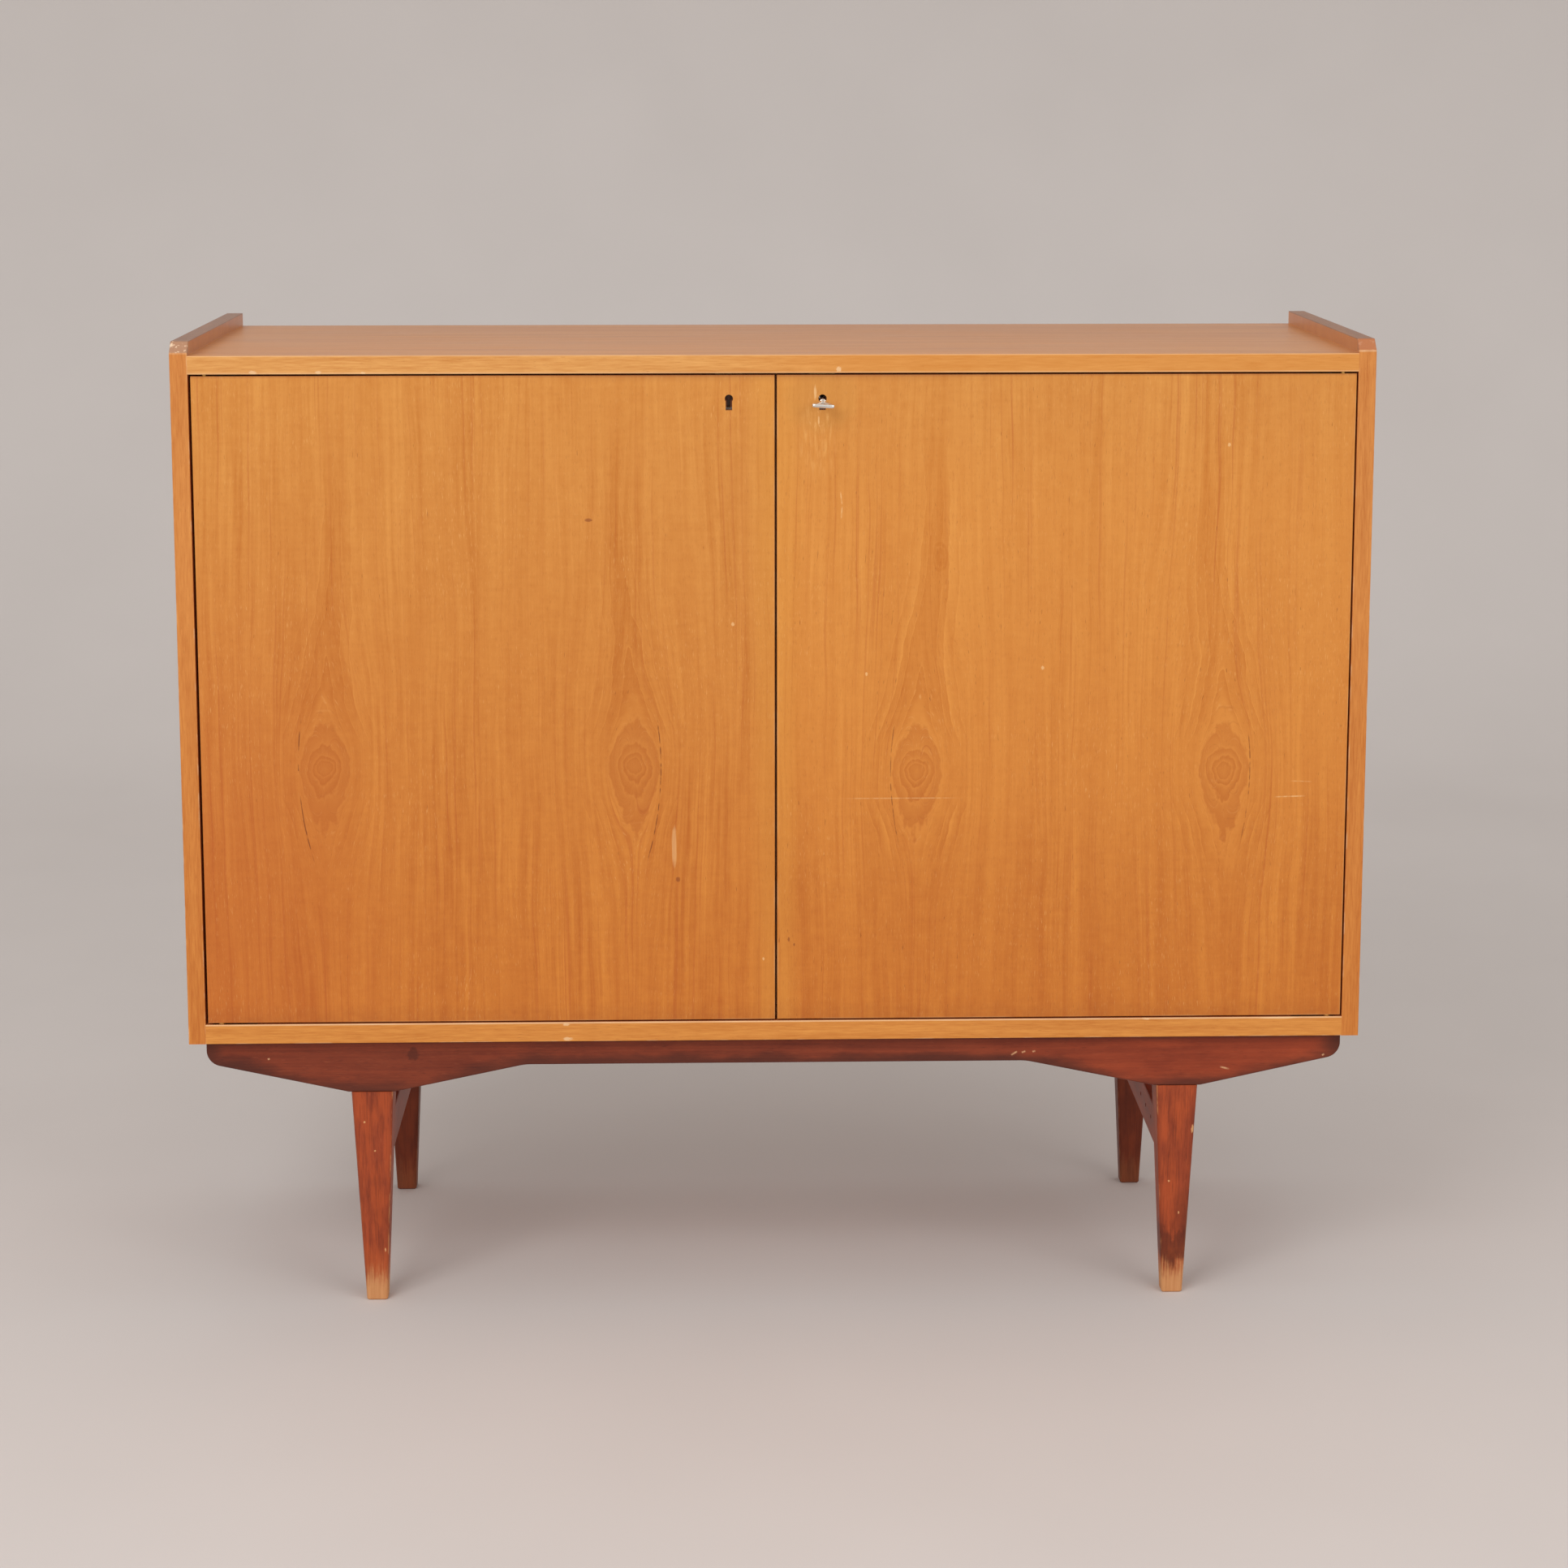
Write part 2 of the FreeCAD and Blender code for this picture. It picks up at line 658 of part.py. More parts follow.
strike_screws = []
stem_drop = (bit_plane - case_front) * math.tan(math.radians(key_droop_angle))
case_keyhole_radius = key_stem_radius + stem_drop + lock_clearance
for side, sign in sides.items():
    x = sign * key_offset
    half_case = lock_width / 2
    half_plate = lock_plate_width / 2
    half_pocket = bolt_width / 2 + lock_clearance
    case = box(x - half_case, x + half_case, case_front, plate_front, case_bottom, door_top)
    pocket_roof = door_top + cut_over
    pocket_back = plate_front + cut_over
    case = case.cut(
        box(x - half_pocket, x + half_pocket, pocket_front, pocket_back, pocket_bottom, pocket_roof)
    )
    slot_width = bit_thickness + 2 * bit_slot_clearance
    slot_drop = bit_radius + bit_slot_clearance
    case = case.cut(
        keyhole(x, case_keyhole_radius, slot_width, slot_drop, case_front - cut_over, pocket_front + cut_over)
    )
    nodes[side + "_lock_case"] = case
    plate_bottom = case_bottom - lock_plate_drop
    plate = box(x - half_plate, x + half_plate, plate_front, door_back, plate_bottom, door_top)
    screw_offset = (half_case + half_plate) / 2
    lock_screws = []
    lock_holes = []
    for dx in (-screw_offset, screw_offset):
        for z in (plate_bottom + lock_screw_margin, door_top - lock_screw_margin):
            size = (lock_screw_radius, lock_screw_head, lock_screw_length)
            lock_screws.append(screw((x + dx, door_back, z), (0, -1, 0), *size))
            lock_holes.append(screw_hole((x + dx, door_back, z), (0, -1, 0), *size))
    nodes[side + "_lock_plate"] = plate.cut(lock_holes)
    nodes[side + "_lock_screws"] = Part.makeCompound(lock_screws)
    nodes[side + "_lock_bolt"] = lock_bolt(x)
    door_cuts[side] += lock_holes
    door_cuts[side].append(
        box(
            x - half_case - lock_clearance,
            x + half_case + lock_clearance,
            case_front - lock_clearance,
            door_back + cut_over,
            case_bottom - lock_clearance,
            door_top + cut_over,
        )
    )
    door_cuts[side].append(
        box(
            x - half_plate - lock_clearance,
            x + half_plate + lock_clearance,
            plate_front,
            door_back + cut_over,
            plate_bottom - lock_clearance,
            door_top + cut_over,
        )
    )
    door_cuts[side].append(
        keyhole(x, keyhole_radius, keyhole_slot_width, keyhole_slot_drop, front - cut_over, case_front)
    )

    # Strike plate over the bolt, let into the top board
    half_strike = strike_length / 2
    half_slot = bolt_width / 2 + strike_clearance
    strike_roof = ceiling + strike_thickness
    mortise_roof = ceiling + bolt_throw - bolt_retreat - door_gap + mortise_spare
    mortise = box(
        x - half_slot,
        x + half_slot,
        bolt_front - strike_clearance,
        bolt_back + strike_clearance,
        ceiling - cut_over,
        mortise_roof,
    )
    strike = box(
        x - half_strike,
        x + half_strike,
        bit_plane - strike_width / 2,
        bit_plane + strike_width / 2,
        ceiling,
        strike_roof,
    )
    strike_holes = []
    for dx in (-(half_strike + half_slot) / 2, (half_strike + half_slot) / 2):
        head = (x + dx, bit_plane, ceiling)
        size = (lock_screw_radius, lock_screw_head, lock_screw_length)
        strike_screws.append(screw(head, (0, 0, 1), *size))
        strike_holes.append(screw_hole(head, (0, 0, 1), *size))
    nodes[side + "_strike_plate"] = strike.cut(strike_holes + [mortise])
    top_recesses += strike_holes
    top_recesses.append(mortise)
    top_recesses.append(
        box(
            x - half_strike - lock_clearance,
            x + half_strike + lock_clearance,
            bit_plane - strike_width / 2 - lock_clearance,
            bit_plane + strike_width / 2 + lock_clearance,
            ceiling - cut_over,
            strike_roof,
        )
    )
nodes["strike_screws"] = Part.makeCompound(strike_screws)

# Doors
for side, sign in sides.items():
    panel = box(sign * meeting_gap / 2, door_edge[side], front, door_back, door_bottom, door_top)
    face_edges = edges_where(panel, lambda point: near(point.y, front))
    panel = panel.makeFillet(door_arris, face_edges)
    nodes[side + "_door_panel"] = cut_all(panel, door_cuts[side])
    nodes[side + "_door_plate_screws"] = Part.makeCompound(door_plate_screws[side])

# Sides, boards and partition
for side, sign in sides.items():
    panel = box(sign * inner_x, sign * half_width, front, back, base, side_top)
    nose = [
        (-half_width - cut_over, front, side_top - side_nose),
        (-half_width - cut_over, front, side_top),
        (-half_width - cut_over, front + side_nose, side_top),
    ]
    panel = panel.cut(prism(nose, (carcass_width + 2 * cut_over, 0, 0)))
    inner_edges = edges_where(panel, lambda point: near(abs(point.x), inner_x))
    top_edges = [edge for edge in inner_edges if edge.BoundBox.ZMin > side_top - side_nose - cut_over]
    outer_edges = edges_where(panel, lambda point: near(abs(point.x), half_width))
    front_edges = [edge for edge in outer_edges if edge.BoundBox.YMax < back - cut_over]
    crown_edges = [edge for edge in outer_edges if edge.BoundBox.ZMin > side_top - side_nose - cut_over]
    rims = front_edges + [edge for edge in crown_edges if edge.BoundBox.YMax > back - cut_over]
    panel = panel.makeFillet(board_arris, rims + top_edges)
    rebate = box(
        sign * inner_x,
        sign * (inner_x + rebate_width),
        back_face,
        back + cut_over,
        case_floor - rebate_width,
        ceiling + rebate_width,
    )
    nodes[side + "_side_panel"] = cut_all(panel, side_bores[side] + back_holes + [rebate])


def board(z0, z1, rebate_low, rebate_high):
    plank = box(-inner_x, inner_x, front, back, z0, z1)
    rims = [edge for edge in plank.Edges if near(edge.Length, 2 * inner_x) and edge.BoundBox.YMax < back]
    plank = plank.makeFillet(board_arris, rims)
    rebate_x = inner_x + cut_over
    return plank.cut(box(-rebate_x, rebate_x, back_face, back + cut_over, rebate_low, rebate_high))


top = board(ceiling, top_face, ceiling - cut_over, ceiling + rebate_width)
nodes["top_board"] = cut_all(top, top_bores + top_recesses + back_holes)
bottom = board(base, case_floor, case_floor - rebate_width, case_floor + cut_over)
nodes["bottom_board"] = cut_all(bottom, bottom_bores + bottom_recesses + back_holes + stand_holes)
partition = box(-partition_half, partition_half, partition_front, back_face, case_floor, ceiling)
nodes["centre_partition"] = cut_all(partition, partition_bores + back_holes)

# Key: stem, bit with a ward cut, collar and an open bow, hanging a little in its lock
stem_end = bit_width / 2
bow_end = -(bit_plane - front) - key_reach
bow_start = bow_end + bow_length
stem = rod(key_stem_radius, (0, bow_start - bow_band, 0), (0, 1, 0), stem_end - bow_start + bow_band)
half_bit = bit_thickness / 2
bit = box(-bit_radius, 0, -stem_end, stem_end, -half_bit, half_bit)
ward = box(
    -bit_radius - cut_over,
    ward_depth - bit_radius,
    -ward_width / 2,
    ward_width / 2,
    -bit_thickness,
    bit_thickness,
)
collar = rod(collar_radius, (0, bow_start - collar_length / 2, 0), (0, 1, 0), collar_length)
half_core = bow_width / 2 - bow_band
core = [
    Vector(0, bow_start - bow_band, -bow_thickness / 2),
    Vector(half_core, bow_end + bow_band, -bow_thickness / 2),
    Vector(-half_core, bow_end + bow_band, -bow_thickness / 2),
]
core_wire = Part.makePolygon(core + core[:1])
bow = Part.Face(core_wire.makeOffset2D(bow_band)).extrude(Vector(0, 0, bow_thickness))
bow = bow.makeFillet(bow_arris, [edge for edge in bow.Edges if near(edge.BoundBox.ZLength, 0)])
hole = Part.Face(core_wire.makeOffset2D(-bow_hole_inset)).extrude(Vector(0, 0, bow_thickness))
key = stem.fuse([bit.cut(ward), collar, bow]).cut(hole).removeSplitter()
key.rotate(Vector(0, 0, 0), Vector(0, 1, 0), key_roll_angle)
key.rotate(Vector(0, 0, 0), Vector(1, 0, 0), key_droop_angle)
key.translate(Vector(key_offset, bit_plane, lock_z))
nodes["key"] = key

for name, shape in nodes.items():
    shape.exportStep("parts/" + name + ".step")
    solids = len(shape.Solids)
    print(name, "solids", solids, "volume", round(shape.Volume), "valid", shape.isValid())
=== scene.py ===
# %% [markdown]
# # A two-door sideboard, dressed for its picture
# The sideboard arrives as a set of exact solids: case, doors, stand, hinges, locks and key. Their shapes
# are already right, so this lesson is mostly about wood: book-matched veneer on the doors, plainer veneer
# on the case, stained beech on the stand, and the small marks that years of use leave. Only the key is
# modelled again here, because bright metal shows every flat facet.

# %% Load the solids and keep their box
import math

import bmesh
import bpy
from mathutils import Matrix, Vector


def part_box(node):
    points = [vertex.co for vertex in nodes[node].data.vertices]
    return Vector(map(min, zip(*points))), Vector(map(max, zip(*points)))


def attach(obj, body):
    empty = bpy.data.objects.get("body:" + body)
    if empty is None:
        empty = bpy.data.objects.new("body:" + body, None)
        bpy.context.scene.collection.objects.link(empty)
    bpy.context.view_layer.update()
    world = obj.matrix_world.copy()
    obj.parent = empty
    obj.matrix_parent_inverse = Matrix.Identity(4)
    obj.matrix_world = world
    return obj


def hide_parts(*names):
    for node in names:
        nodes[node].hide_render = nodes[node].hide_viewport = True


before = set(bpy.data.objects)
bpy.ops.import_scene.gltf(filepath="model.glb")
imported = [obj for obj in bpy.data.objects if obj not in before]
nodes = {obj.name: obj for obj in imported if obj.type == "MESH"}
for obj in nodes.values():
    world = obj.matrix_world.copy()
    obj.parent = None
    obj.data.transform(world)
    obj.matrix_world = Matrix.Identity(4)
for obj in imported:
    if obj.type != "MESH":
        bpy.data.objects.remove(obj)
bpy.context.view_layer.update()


# %% [markdown]
# ## The measures that the finishes share
# Wood is easiest to think of in millimetres, while Blender works in metres. This helper gives the box of a
# solid in millimetres, so a finish can say where an edge, a foot or a keyhole is without guessing.


# %% Boxes in millimetres
def box_mm(name):
    """Lowest and highest corner of one solid, in millimetres."""
    low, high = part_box(name)
    return Vector(low) * 1000, Vector(high) * 1000


door_low, door_high = box_mm("left_door_panel")
right_low, right_high = box_mm("right_door_panel")
case_low, case_high = box_mm("left_side_panel")
top_low, top_high = box_mm("top_board")
bottom_low, bottom_high = box_mm("bottom_board")
front_y = door_low.y
print("front plane at", round(front_y, 2), "mm")
print("doors from", round(door_low.z, 1), "to", round(door_high.z, 1), "mm")

# %% [markdown]
# ## Camera
# The picture was taken from a little left of the middle and from above the top board, with a long lens. A
# camera is placed by three directions: where it looks, what is right and what is up. They become the
# columns of its matrix. The lens follows from the focal length in pixels, and a small vertical shift stands
# for the part of the picture that was cut away.

# %% Place the camera
image_side = 1932
focal_px = 3900
axis_row = 680
eye = Vector((-0.076527, front_y / 1000 - 3.398078, 1.367099))
yaw, pitch, roll = 0.02513, 0.14883, -0.00026
ahead = Vector((math.sin(yaw) * math.cos(pitch), math.cos(yaw) * math.cos(pitch), -math.sin(pitch)))
level = Vector((math.cos(yaw), -math.sin(yaw), 0))
upward = level.cross(ahead)
sideways = level * math.cos(roll) + upward * math.sin(roll)
upward = upward * math.cos(roll) - level * math.sin(roll)
lens = bpy.data.cameras.new("camera")
lens.sensor_width = 36
lens.lens = focal_px / image_side * lens.sensor_width
lens.shift_y = (axis_row - image_side / 2) / image_side
camera = bpy.data.objects.new("camera", lens)
turn = Matrix((sideways, upward, -ahead)).transposed().to_4x4()
camera.matrix_world = Matrix.Translation(eye) @ turn
bpy.context.collection.objects.link(camera)
bpy.context.scene.camera = camera
print("lens", round(lens.lens, 2), "mm, shift", round(lens.shift_y, 3))

# %% [markdown]
# ## Floor and backdrop
# A studio sweep is one sheet of paper: it lies on the floor, curves up and becomes the wall, so no hard
# corner shows. Here a plane is added at floor size, its far edge is spun upwards to make the curve, and the
# last edge is drawn up as the wall. Two helpers come first, because edit-mode operators act on whatever is
# selected: one clears the selection, the other picks parts of a mesh by their place or direction.


# %% Helpers for edit mode
def deselect_all():
    """Nothing selected, so an operator only touches what comes next."""
    bpy.ops.object.select_all(action="DESELECT")


def pick(kind, test):
    """In edit mode, select the vertices, edges or faces whose middle and normal (or run) pass the test."""
    bpy.ops.mesh.select_mode(type=kind)
    bpy.ops.mesh.select_all(action="DESELECT")
    mesh = bmesh.from_edit_mesh(bpy.context.object.data)
    chosen = 0
    for part in {"VERT": mesh.verts, "EDGE": mesh.edges, "FACE": mesh.faces}[kind]:
        if kind == "VERT":
            middle, normal = part.co, part.normal
        elif kind == "EDGE":
            start, end = part.verts[0].co, part.verts[1].co
            middle, normal = (start + end) / 2, start - end
        else:
            middle, normal = part.calc_center_median(), part.normal
        if test(middle, normal):
            part.select_set(True)
            chosen += 1
    mesh.select_flush_mode()
    bmesh.update_edit_mesh(bpy.context.object.data)
    return chosen


# %% Model the sweep
half_wide, half_deep, far_y = 40, 30, 2.2
curve_radius, curve_steps, wall_height = 2.0, 32, 5.0
hair_width = 0.01
deselect_all()
bpy.ops.mesh.primitive_plane_add(size=2, location=(0, 0, 0))
sweep = bpy.context.object
sweep.name = "studio_sweep"
sweep.scale = (half_wide, half_deep, 1)
bpy.ops.object.transform_apply(location=False, rotation=False, scale=True)
bpy.ops.object.mode_set(mode="EDIT")
pick("VERT", lambda place, normal: place.y > 0)
bpy.ops.transform.translate(value=(0, far_y - half_deep, 0))
pick("EDGE", lambda place, run: place.y > far_y - hair_width)
spin_middle = (0, far_y, curve_radius)
bpy.ops.mesh.spin(steps=curve_steps, angle=-math.pi / 2, center=spin_middle, axis=(1, 0, 0))
pick("EDGE", lambda place, run: place.z > curve_radius - hair_width)
bpy.ops.mesh.extrude_region_move(TRANSFORM_OT_translate={"value": (0, 0, wall_height)})
bpy.ops.mesh.select_all(action="SELECT")
bpy.ops.mesh.remove_doubles(threshold=0.0001)
bpy.ops.mesh.normals_make_consistent(inside=False)
bpy.ops.object.mode_set(mode="OBJECT")
bpy.ops.object.shade_smooth()
wall_y = max(vertex.co.y for vertex in sweep.data.vertices)
print("sweep faces:", len(sweep.data.polygons), "wall at", round(wall_y, 2))


# %% [markdown]
# ## Light
# Plain studio light: one large soft box up on the left gives the soft shadow under the key, a second one on
# the right keeps the dark side readable, and a pale world fills the rest. The strengths are set so that a
# colour renders about as it is written.


# %% Soft boxes and world
def soft_box(name, place, aim, size, watts):
    """A square lamp at a place, turned to its aim."""
    lamp = bpy.data.lights.new(name, "AREA")
    lamp.shape = "SQUARE"
    lamp.size = size
    lamp.energy = watts
    holder = bpy.data.objects.new(name, lamp)
    holder.location = place
    holder.rotation_euler = (Vector(aim) - Vector(place)).to_track_quat("-Z", "Y").to_euler()
    bpy.context.collection.objects.link(holder)


box_side, left_watts, right_watts = 2.2, 66, 30
soft_box("left_soft_box", (-1.9, -3.2, 3.1), (0, 0, 0.75), box_side, left_watts)
soft_box("right_soft_box", (2.4, -3.0, 2.4), (0, 0, 0.6), box_side, right_watts)
air_colour, air_strength = (1.0, 0.97, 0.94, 1), 0.78
world = bpy.data.worlds.new("studio_air")
world.use_nodes = True
world.node_tree.nodes["Background"].inputs["Color"].default_value = air_colour
world.node_tree.nodes["Background"].inputs["Strength"].default_value = air_strength
bpy.context.scene.world = world
bpy.context.scene.view_settings.view_transform = "Standard"


# %% [markdown]
# ## Writing shaders as sums
# A material is a net of nodes. Wiring it by hand hides the idea behind dozens of links, so a small class
# wraps a socket and lets Python's own signs add the Math nodes. Every other node comes from one method that
# takes its type, its settings and what goes into its sockets.


# %% The wire
class Wire:
    """An output socket; sums on wires add Math nodes to the finish."""

    def __init__(self, finish, socket):
        self.finish = finish
        self.socket = socket

    def __add__(self, other):
        return self.finish.maths("ADD", self, other)

    def __radd__(self, other):
        return self.finish.maths("ADD", other, self)

    def __sub__(self, other):
        return self.finish.maths("SUBTRACT", self, other)

    def __rsub__(self, other):
        return self.finish.maths("SUBTRACT", other, self)

    def __mul__(self, other):
        return self.finish.maths("MULTIPLY", self, other)

    def __rmul__(self, other):
        return self.finish.maths("MULTIPLY", other, self)

    def __truediv__(self, other):
        return self.finish.maths("DIVIDE", self, other)

    def __rtruediv__(self, other):
        return self.finish.maths("DIVIDE", other, self)

    def __pow__(self, other):
        return self.finish.maths("POWER", self, other)

    def __abs__(self):
        return self.finish.maths("ABSOLUTE", self)

    def __neg__(self):
        return self.finish.maths("MULTIPLY", self, -1.0)


print("signs that add Math nodes: + - * / ** abs")


# %% [markdown]
# The finish owns the material. It knows the few nodes that wood, stain and metal need: coordinates in
# millimetres, soft noise, a smooth step, a ramp with its stops, a mix of two colours and a bump. Colours
# are written as they are read off a screen, and made linear once, in one place.


# %% The finish
class Finish:
    """A node material that is built from wires."""

    def __init__(self, name):
        self.material = bpy.data.materials.new(name)
        self.material.use_nodes = True
        self.tree = self.material.node_tree
        self.shader = self.tree.nodes["Principled BSDF"]

    def feed(self, socket, value):
        """Link a wire to a socket, or set a plain value on it."""
        if isinstance(value, Wire):
            self.tree.links.new(value.socket, socket)
        else:
            socket.default_value = value

    def node(self, kind, settings, values, output=0):
        """Add a node: its settings first, then what goes into its sockets; gives the wire of one output."""
        added = self.tree.nodes.new(kind)
        for name, value in settings.items():
            if name == "stops":
                for number, (place, height) in enumerate(value):
                    marks = added.color_ramp.elements
                    mark = marks[number] if number < 2 else marks.new(place)
                    mark.position = place
                    mark.color = (height, height, height, 1)
            else:
                setattr(added, name, value)
        for socket, value in values.items():
            self.feed(added.inputs[socket], value)
        return Wire(self, added.outputs[output])

    def maths(self, operation, *values):
        return self.node("ShaderNodeMath", {"operation": operation}, dict(enumerate(values)))

    def place(self):
        """Where a point lies on the object, as three wires in millimetres."""
        spot = self.node("ShaderNodeTexCoord", {}, {}, "Object")
        scaled = self.node("ShaderNodeMapping", {}, {"Vector": spot, "Scale": (1000, 1000, 1000)})
        split = self.node("ShaderNodeSeparateXYZ", {}, {"Vector": scaled})
        return [Wire(self, split.socket.node.outputs[axis]) for axis in "XYZ"]

    def noise(self, x, y, z, detail=2.0):
        """Soft noise from 0 to 1 at a point that is already divided by the size of its blotches."""
        spot = self.node("ShaderNodeCombineXYZ", {}, {"X": x, "Y": y, "Z": z})
        values = {"Vector": spot, "Scale": 1.0, "Detail": detail, "Roughness": 0.55}
        return self.node("ShaderNodeTexNoise", {"noise_dimensions": "3D"}, values)

    def ease(self, value, low, high):
        """0 below low, 1 above high and a smooth step between."""
        values = {"Value": value, "From Min": low, "From Max": high}
        return self.node("ShaderNodeMapRange", {"interpolation_type": "SMOOTHSTEP"}, values)

    def larger(self, first, second):
        return self.maths("MAXIMUM", first, second)

    def blend(self, share, first, second):
        """A colour between two colours."""
        settings = {"data_type": "RGBA", "clamp_factor": True}
        return self.node("ShaderNodeMix", settings, {0: share, 6: first, 7: second}, 2)

    def shade(self, **inputs):
        """Feed the surface shader; underscores stand for spaces."""
        for name, value in inputs.items():
            self.feed(self.shader.inputs[name.replace("_", " ")], value)

    def relief(self, height, depth_mm):
        """Raise and sink the surface by a height from 0 to 1."""
        values = {"Height": height, "Strength": 1.0, "Distance": depth_mm / 1000}
        self.shade(Normal=self.node("ShaderNodeBump", {}, values))


def tint(red, green, blue):
    """A colour as read off a screen, 0 to 255, made linear for Blender."""
    parts = [value / 255 for value in (red, green, blue)]
    return [part / 12.92 if part <= 0.04045 else ((part + 0.055) / 1.055) ** 2.4 for part in parts] + [1.0]


print("teak mid tone:", [round(part, 3) for part in tint(214, 134, 62)])

# %% [markdown]
# ## The sweep's paper
# The backdrop is matt paper of a warm grey. A very faint mottling keeps it from looking like a filled
# rectangle, and no gloss at all lets the object's shadow lie on it softly.

# %% Paper for the sweep
paper = Finish("sweep_paper")
x, y, z = paper.place()
mottle = paper.noise(x / 420, y / 420, z / 420)
paper.shade(Base_Color=paper.blend(mottle, tint(205, 199, 196), tint(212, 206, 203)), Roughness=0.95)
paper.shade(Specular_IOR_Level=0.1)
sweep.data.materials.append(paper.material)
print("sweep finish:", paper.material.name)


# %% [markdown]
# ## Straight grain
# Every wooden face starts from the same idea: noise that is stretched along the grain. Wide stretched noise
# gives the broad streaks, narrower noise the lines in them, and the peaks of a very narrow noise the open
# pores, which are short dark dashes. Teak also has pale flecks of the same kind. All sizes are in
# millimetres.


# %% Grain from stretched noise
def straight_grain(finish, across, along, depth):
    """Broad streaks, lines, pores and pale flecks of wood whose grain runs along."""
    wander = finish.noise(across / 70, along / 420, depth / 70, 1.0) * 9
    lane = across + wander
    broad = finish.noise(lane / 26, along / 1300, depth / 26, 3.0)
    lines = finish.noise(lane / 2.8, along / 190, depth / 2.8, 2.0)
    pores = finish.ease(finish.noise(lane, along / 10, depth, 1.0), 0.58, 0.76)
    flecks = finish.ease(finish.noise(lane / 1.1 + 37, along / 13, depth / 1.1, 1.0), 0.6, 0.8)
    return broad, lines, pores, flecks


def rim(finish, value, low, high, width):
    """1 at both ends of a span, fading to 0 over a width."""
    return finish.larger(1 - finish.ease(value, low, low + width), finish.ease(value, high - width, high))


def between(finish, value, low, high, fade):
    """1 inside a span, 0 outside it."""
    return finish.ease(value, low - fade, low) * (1 - finish.ease(value, high, high + fade))


print("grain helpers: streaks, lines, pores, flecks")


# %% [markdown]
# ## Marks
# A used surface has its own small history: a dent here, a scratch there. A spot is the distance to a point,
# and a scratch the distance to a line, each turned into a soft mask. Their places are read off the picture.


# %% Spots and scratches
def spot(finish, across, up, middle, size, ragged=0.9):
    """A mark with a broken edge; size is its half width and half height."""
    wide = (across - middle[0]) / size[0]
    tall = (up - middle[1]) / size[1]
    edge = (finish.noise(across / size[0] * 1.3, up / size[1] * 1.3, 2.0, 3.0) - 0.5) * ragged * 2
    return 1 - finish.ease(wide * wide + tall * tall + edge, 0.3, 1.0)


def spots(finish, across, up, marks, ragged=0.9):
    """The strongest of several spots, each given by its middle and its half sizes."""
    strongest = 0.0
    for middle, size in marks:
        strongest = finish.larger(strongest, spot(finish, across, up, middle, size, ragged))
    return strongest


def scratches(finish, across, up, marks, width):
    """Straight scratches from start to end that skip here and there and thin out at both ends."""
    strongest = 0.0
    for start, end in marks:
        run = (Vector(end) - Vector(start)).normalized()
        length = (Vector(end) - Vector(start)).length
        away_x = across - start[0]
        away_z = up - start[1]
        along = away_x * run.x + away_z * run.y
        aside = abs(away_z * run.x - away_x * run.y)
        skips = 0.35 + 0.65 * finish.ease(finish.noise(along / 7, 1.0, 4.0, 2.0), 0.4, 0.55)
        thin = between(finish, along, length * 0.25, length * 0.75, length * 0.25)
        strongest = finish.larger(strongest, thin * skips * (1 - finish.ease(aside, width * 0.2, width)))
    return strongest


print("mark helpers: spots, scratches")

# %% [markdown]
# ## Door veneer
# Four leaves of teak were sliced one after another from the same log and opened like the pages of a book,
# so the figure mirrors at the middle of each door and where the doors meet. Each leaf has one eye, where
# the knife ran through a swelling of the year rings. A painted texture could hold all that, but it would
# fix the size. Here a folded coordinate does the book-matching: the distance from the middle line, turned
# back at every leaf's edge.

# %% Fold the front into four leaves
door_teak = Finish("door_teak")
x, y, z = door_teak.place()
leaf_width, eye_in, eye_up = 324.0, 155.0, 620.0
folded = door_teak.maths("PINGPONG", abs(x), leaf_width)
on_right = door_teak.ease(x, -0.5, 0.5)
outer_leaf = door_teak.ease(abs(x), leaf_width - 0.5, leaf_width + 0.5)
leaf = on_right * 0.55 + outer_leaf * 0.3
u = folded - eye_in
v = z - eye_up + on_right * 7
print("leaf width", leaf_width, "eye", eye_in, "mm in from the leaf's edge")

# %% [markdown]
# The eye is a stack of year rings cut across: round at the core, stretched along the grain further out,
# more so below than above. A ramp over the ring's radius gives each ring a brown rise and a thin pale line
# where it ends. Two noises bend the rings: soft lumps all round, and a comb of small teeth where the rings
# meet the grain.

# %% Rings of the eye
below = 1 - door_teak.ease(v, -12, 12)
lump = (door_teak.noise(u / 14, v / 18, leaf, 2.0) - 0.5) * 10
comb = (door_teak.noise(u / 5, v / 34, leaf * 3, 1.0) - 0.5) * 5
tall = abs(v) / (1 + abs(v) / (63 - below * 18))
tall = tall + comb * door_teak.ease(tall, 8, 22)
ring = (u * u + tall * tall) ** 0.5 + lump
outer_ring = 40.0
rings = [(0, 0.5), (5.5, 0.42), (7.6, 0.32), (8.6, 0.58), (10, 0.42), (12, 0.26), (13.2, 0.62), (15, 0.46)]
rings += [(18.4, 0.28), (19.6, 0.62), (21.6, 0.46), (25.5, 0.34), (27.2, 0.3), (28.8, 0.62), (31, 0.53)]
rings += [(36, 0.47), (outer_ring, 0.5)]
stops = [(place / outer_ring, shade) for place, shade in rings]
ring_tone = door_teak.node("ShaderNodeValToRGB", {"stops": stops}, {0: ring / outer_ring})
ring_share = 0.6 + door_teak.noise(u / 30, v / 40, leaf * 5 + 2, 2.0) * 0.7
ring_tone = (ring_tone - 0.5) * ring_share - (1 - door_teak.ease(ring, 12, 30)) * 0.1
print("rings of the eye end at", [place for place, shade in rings if shade > 0.55], "mm")

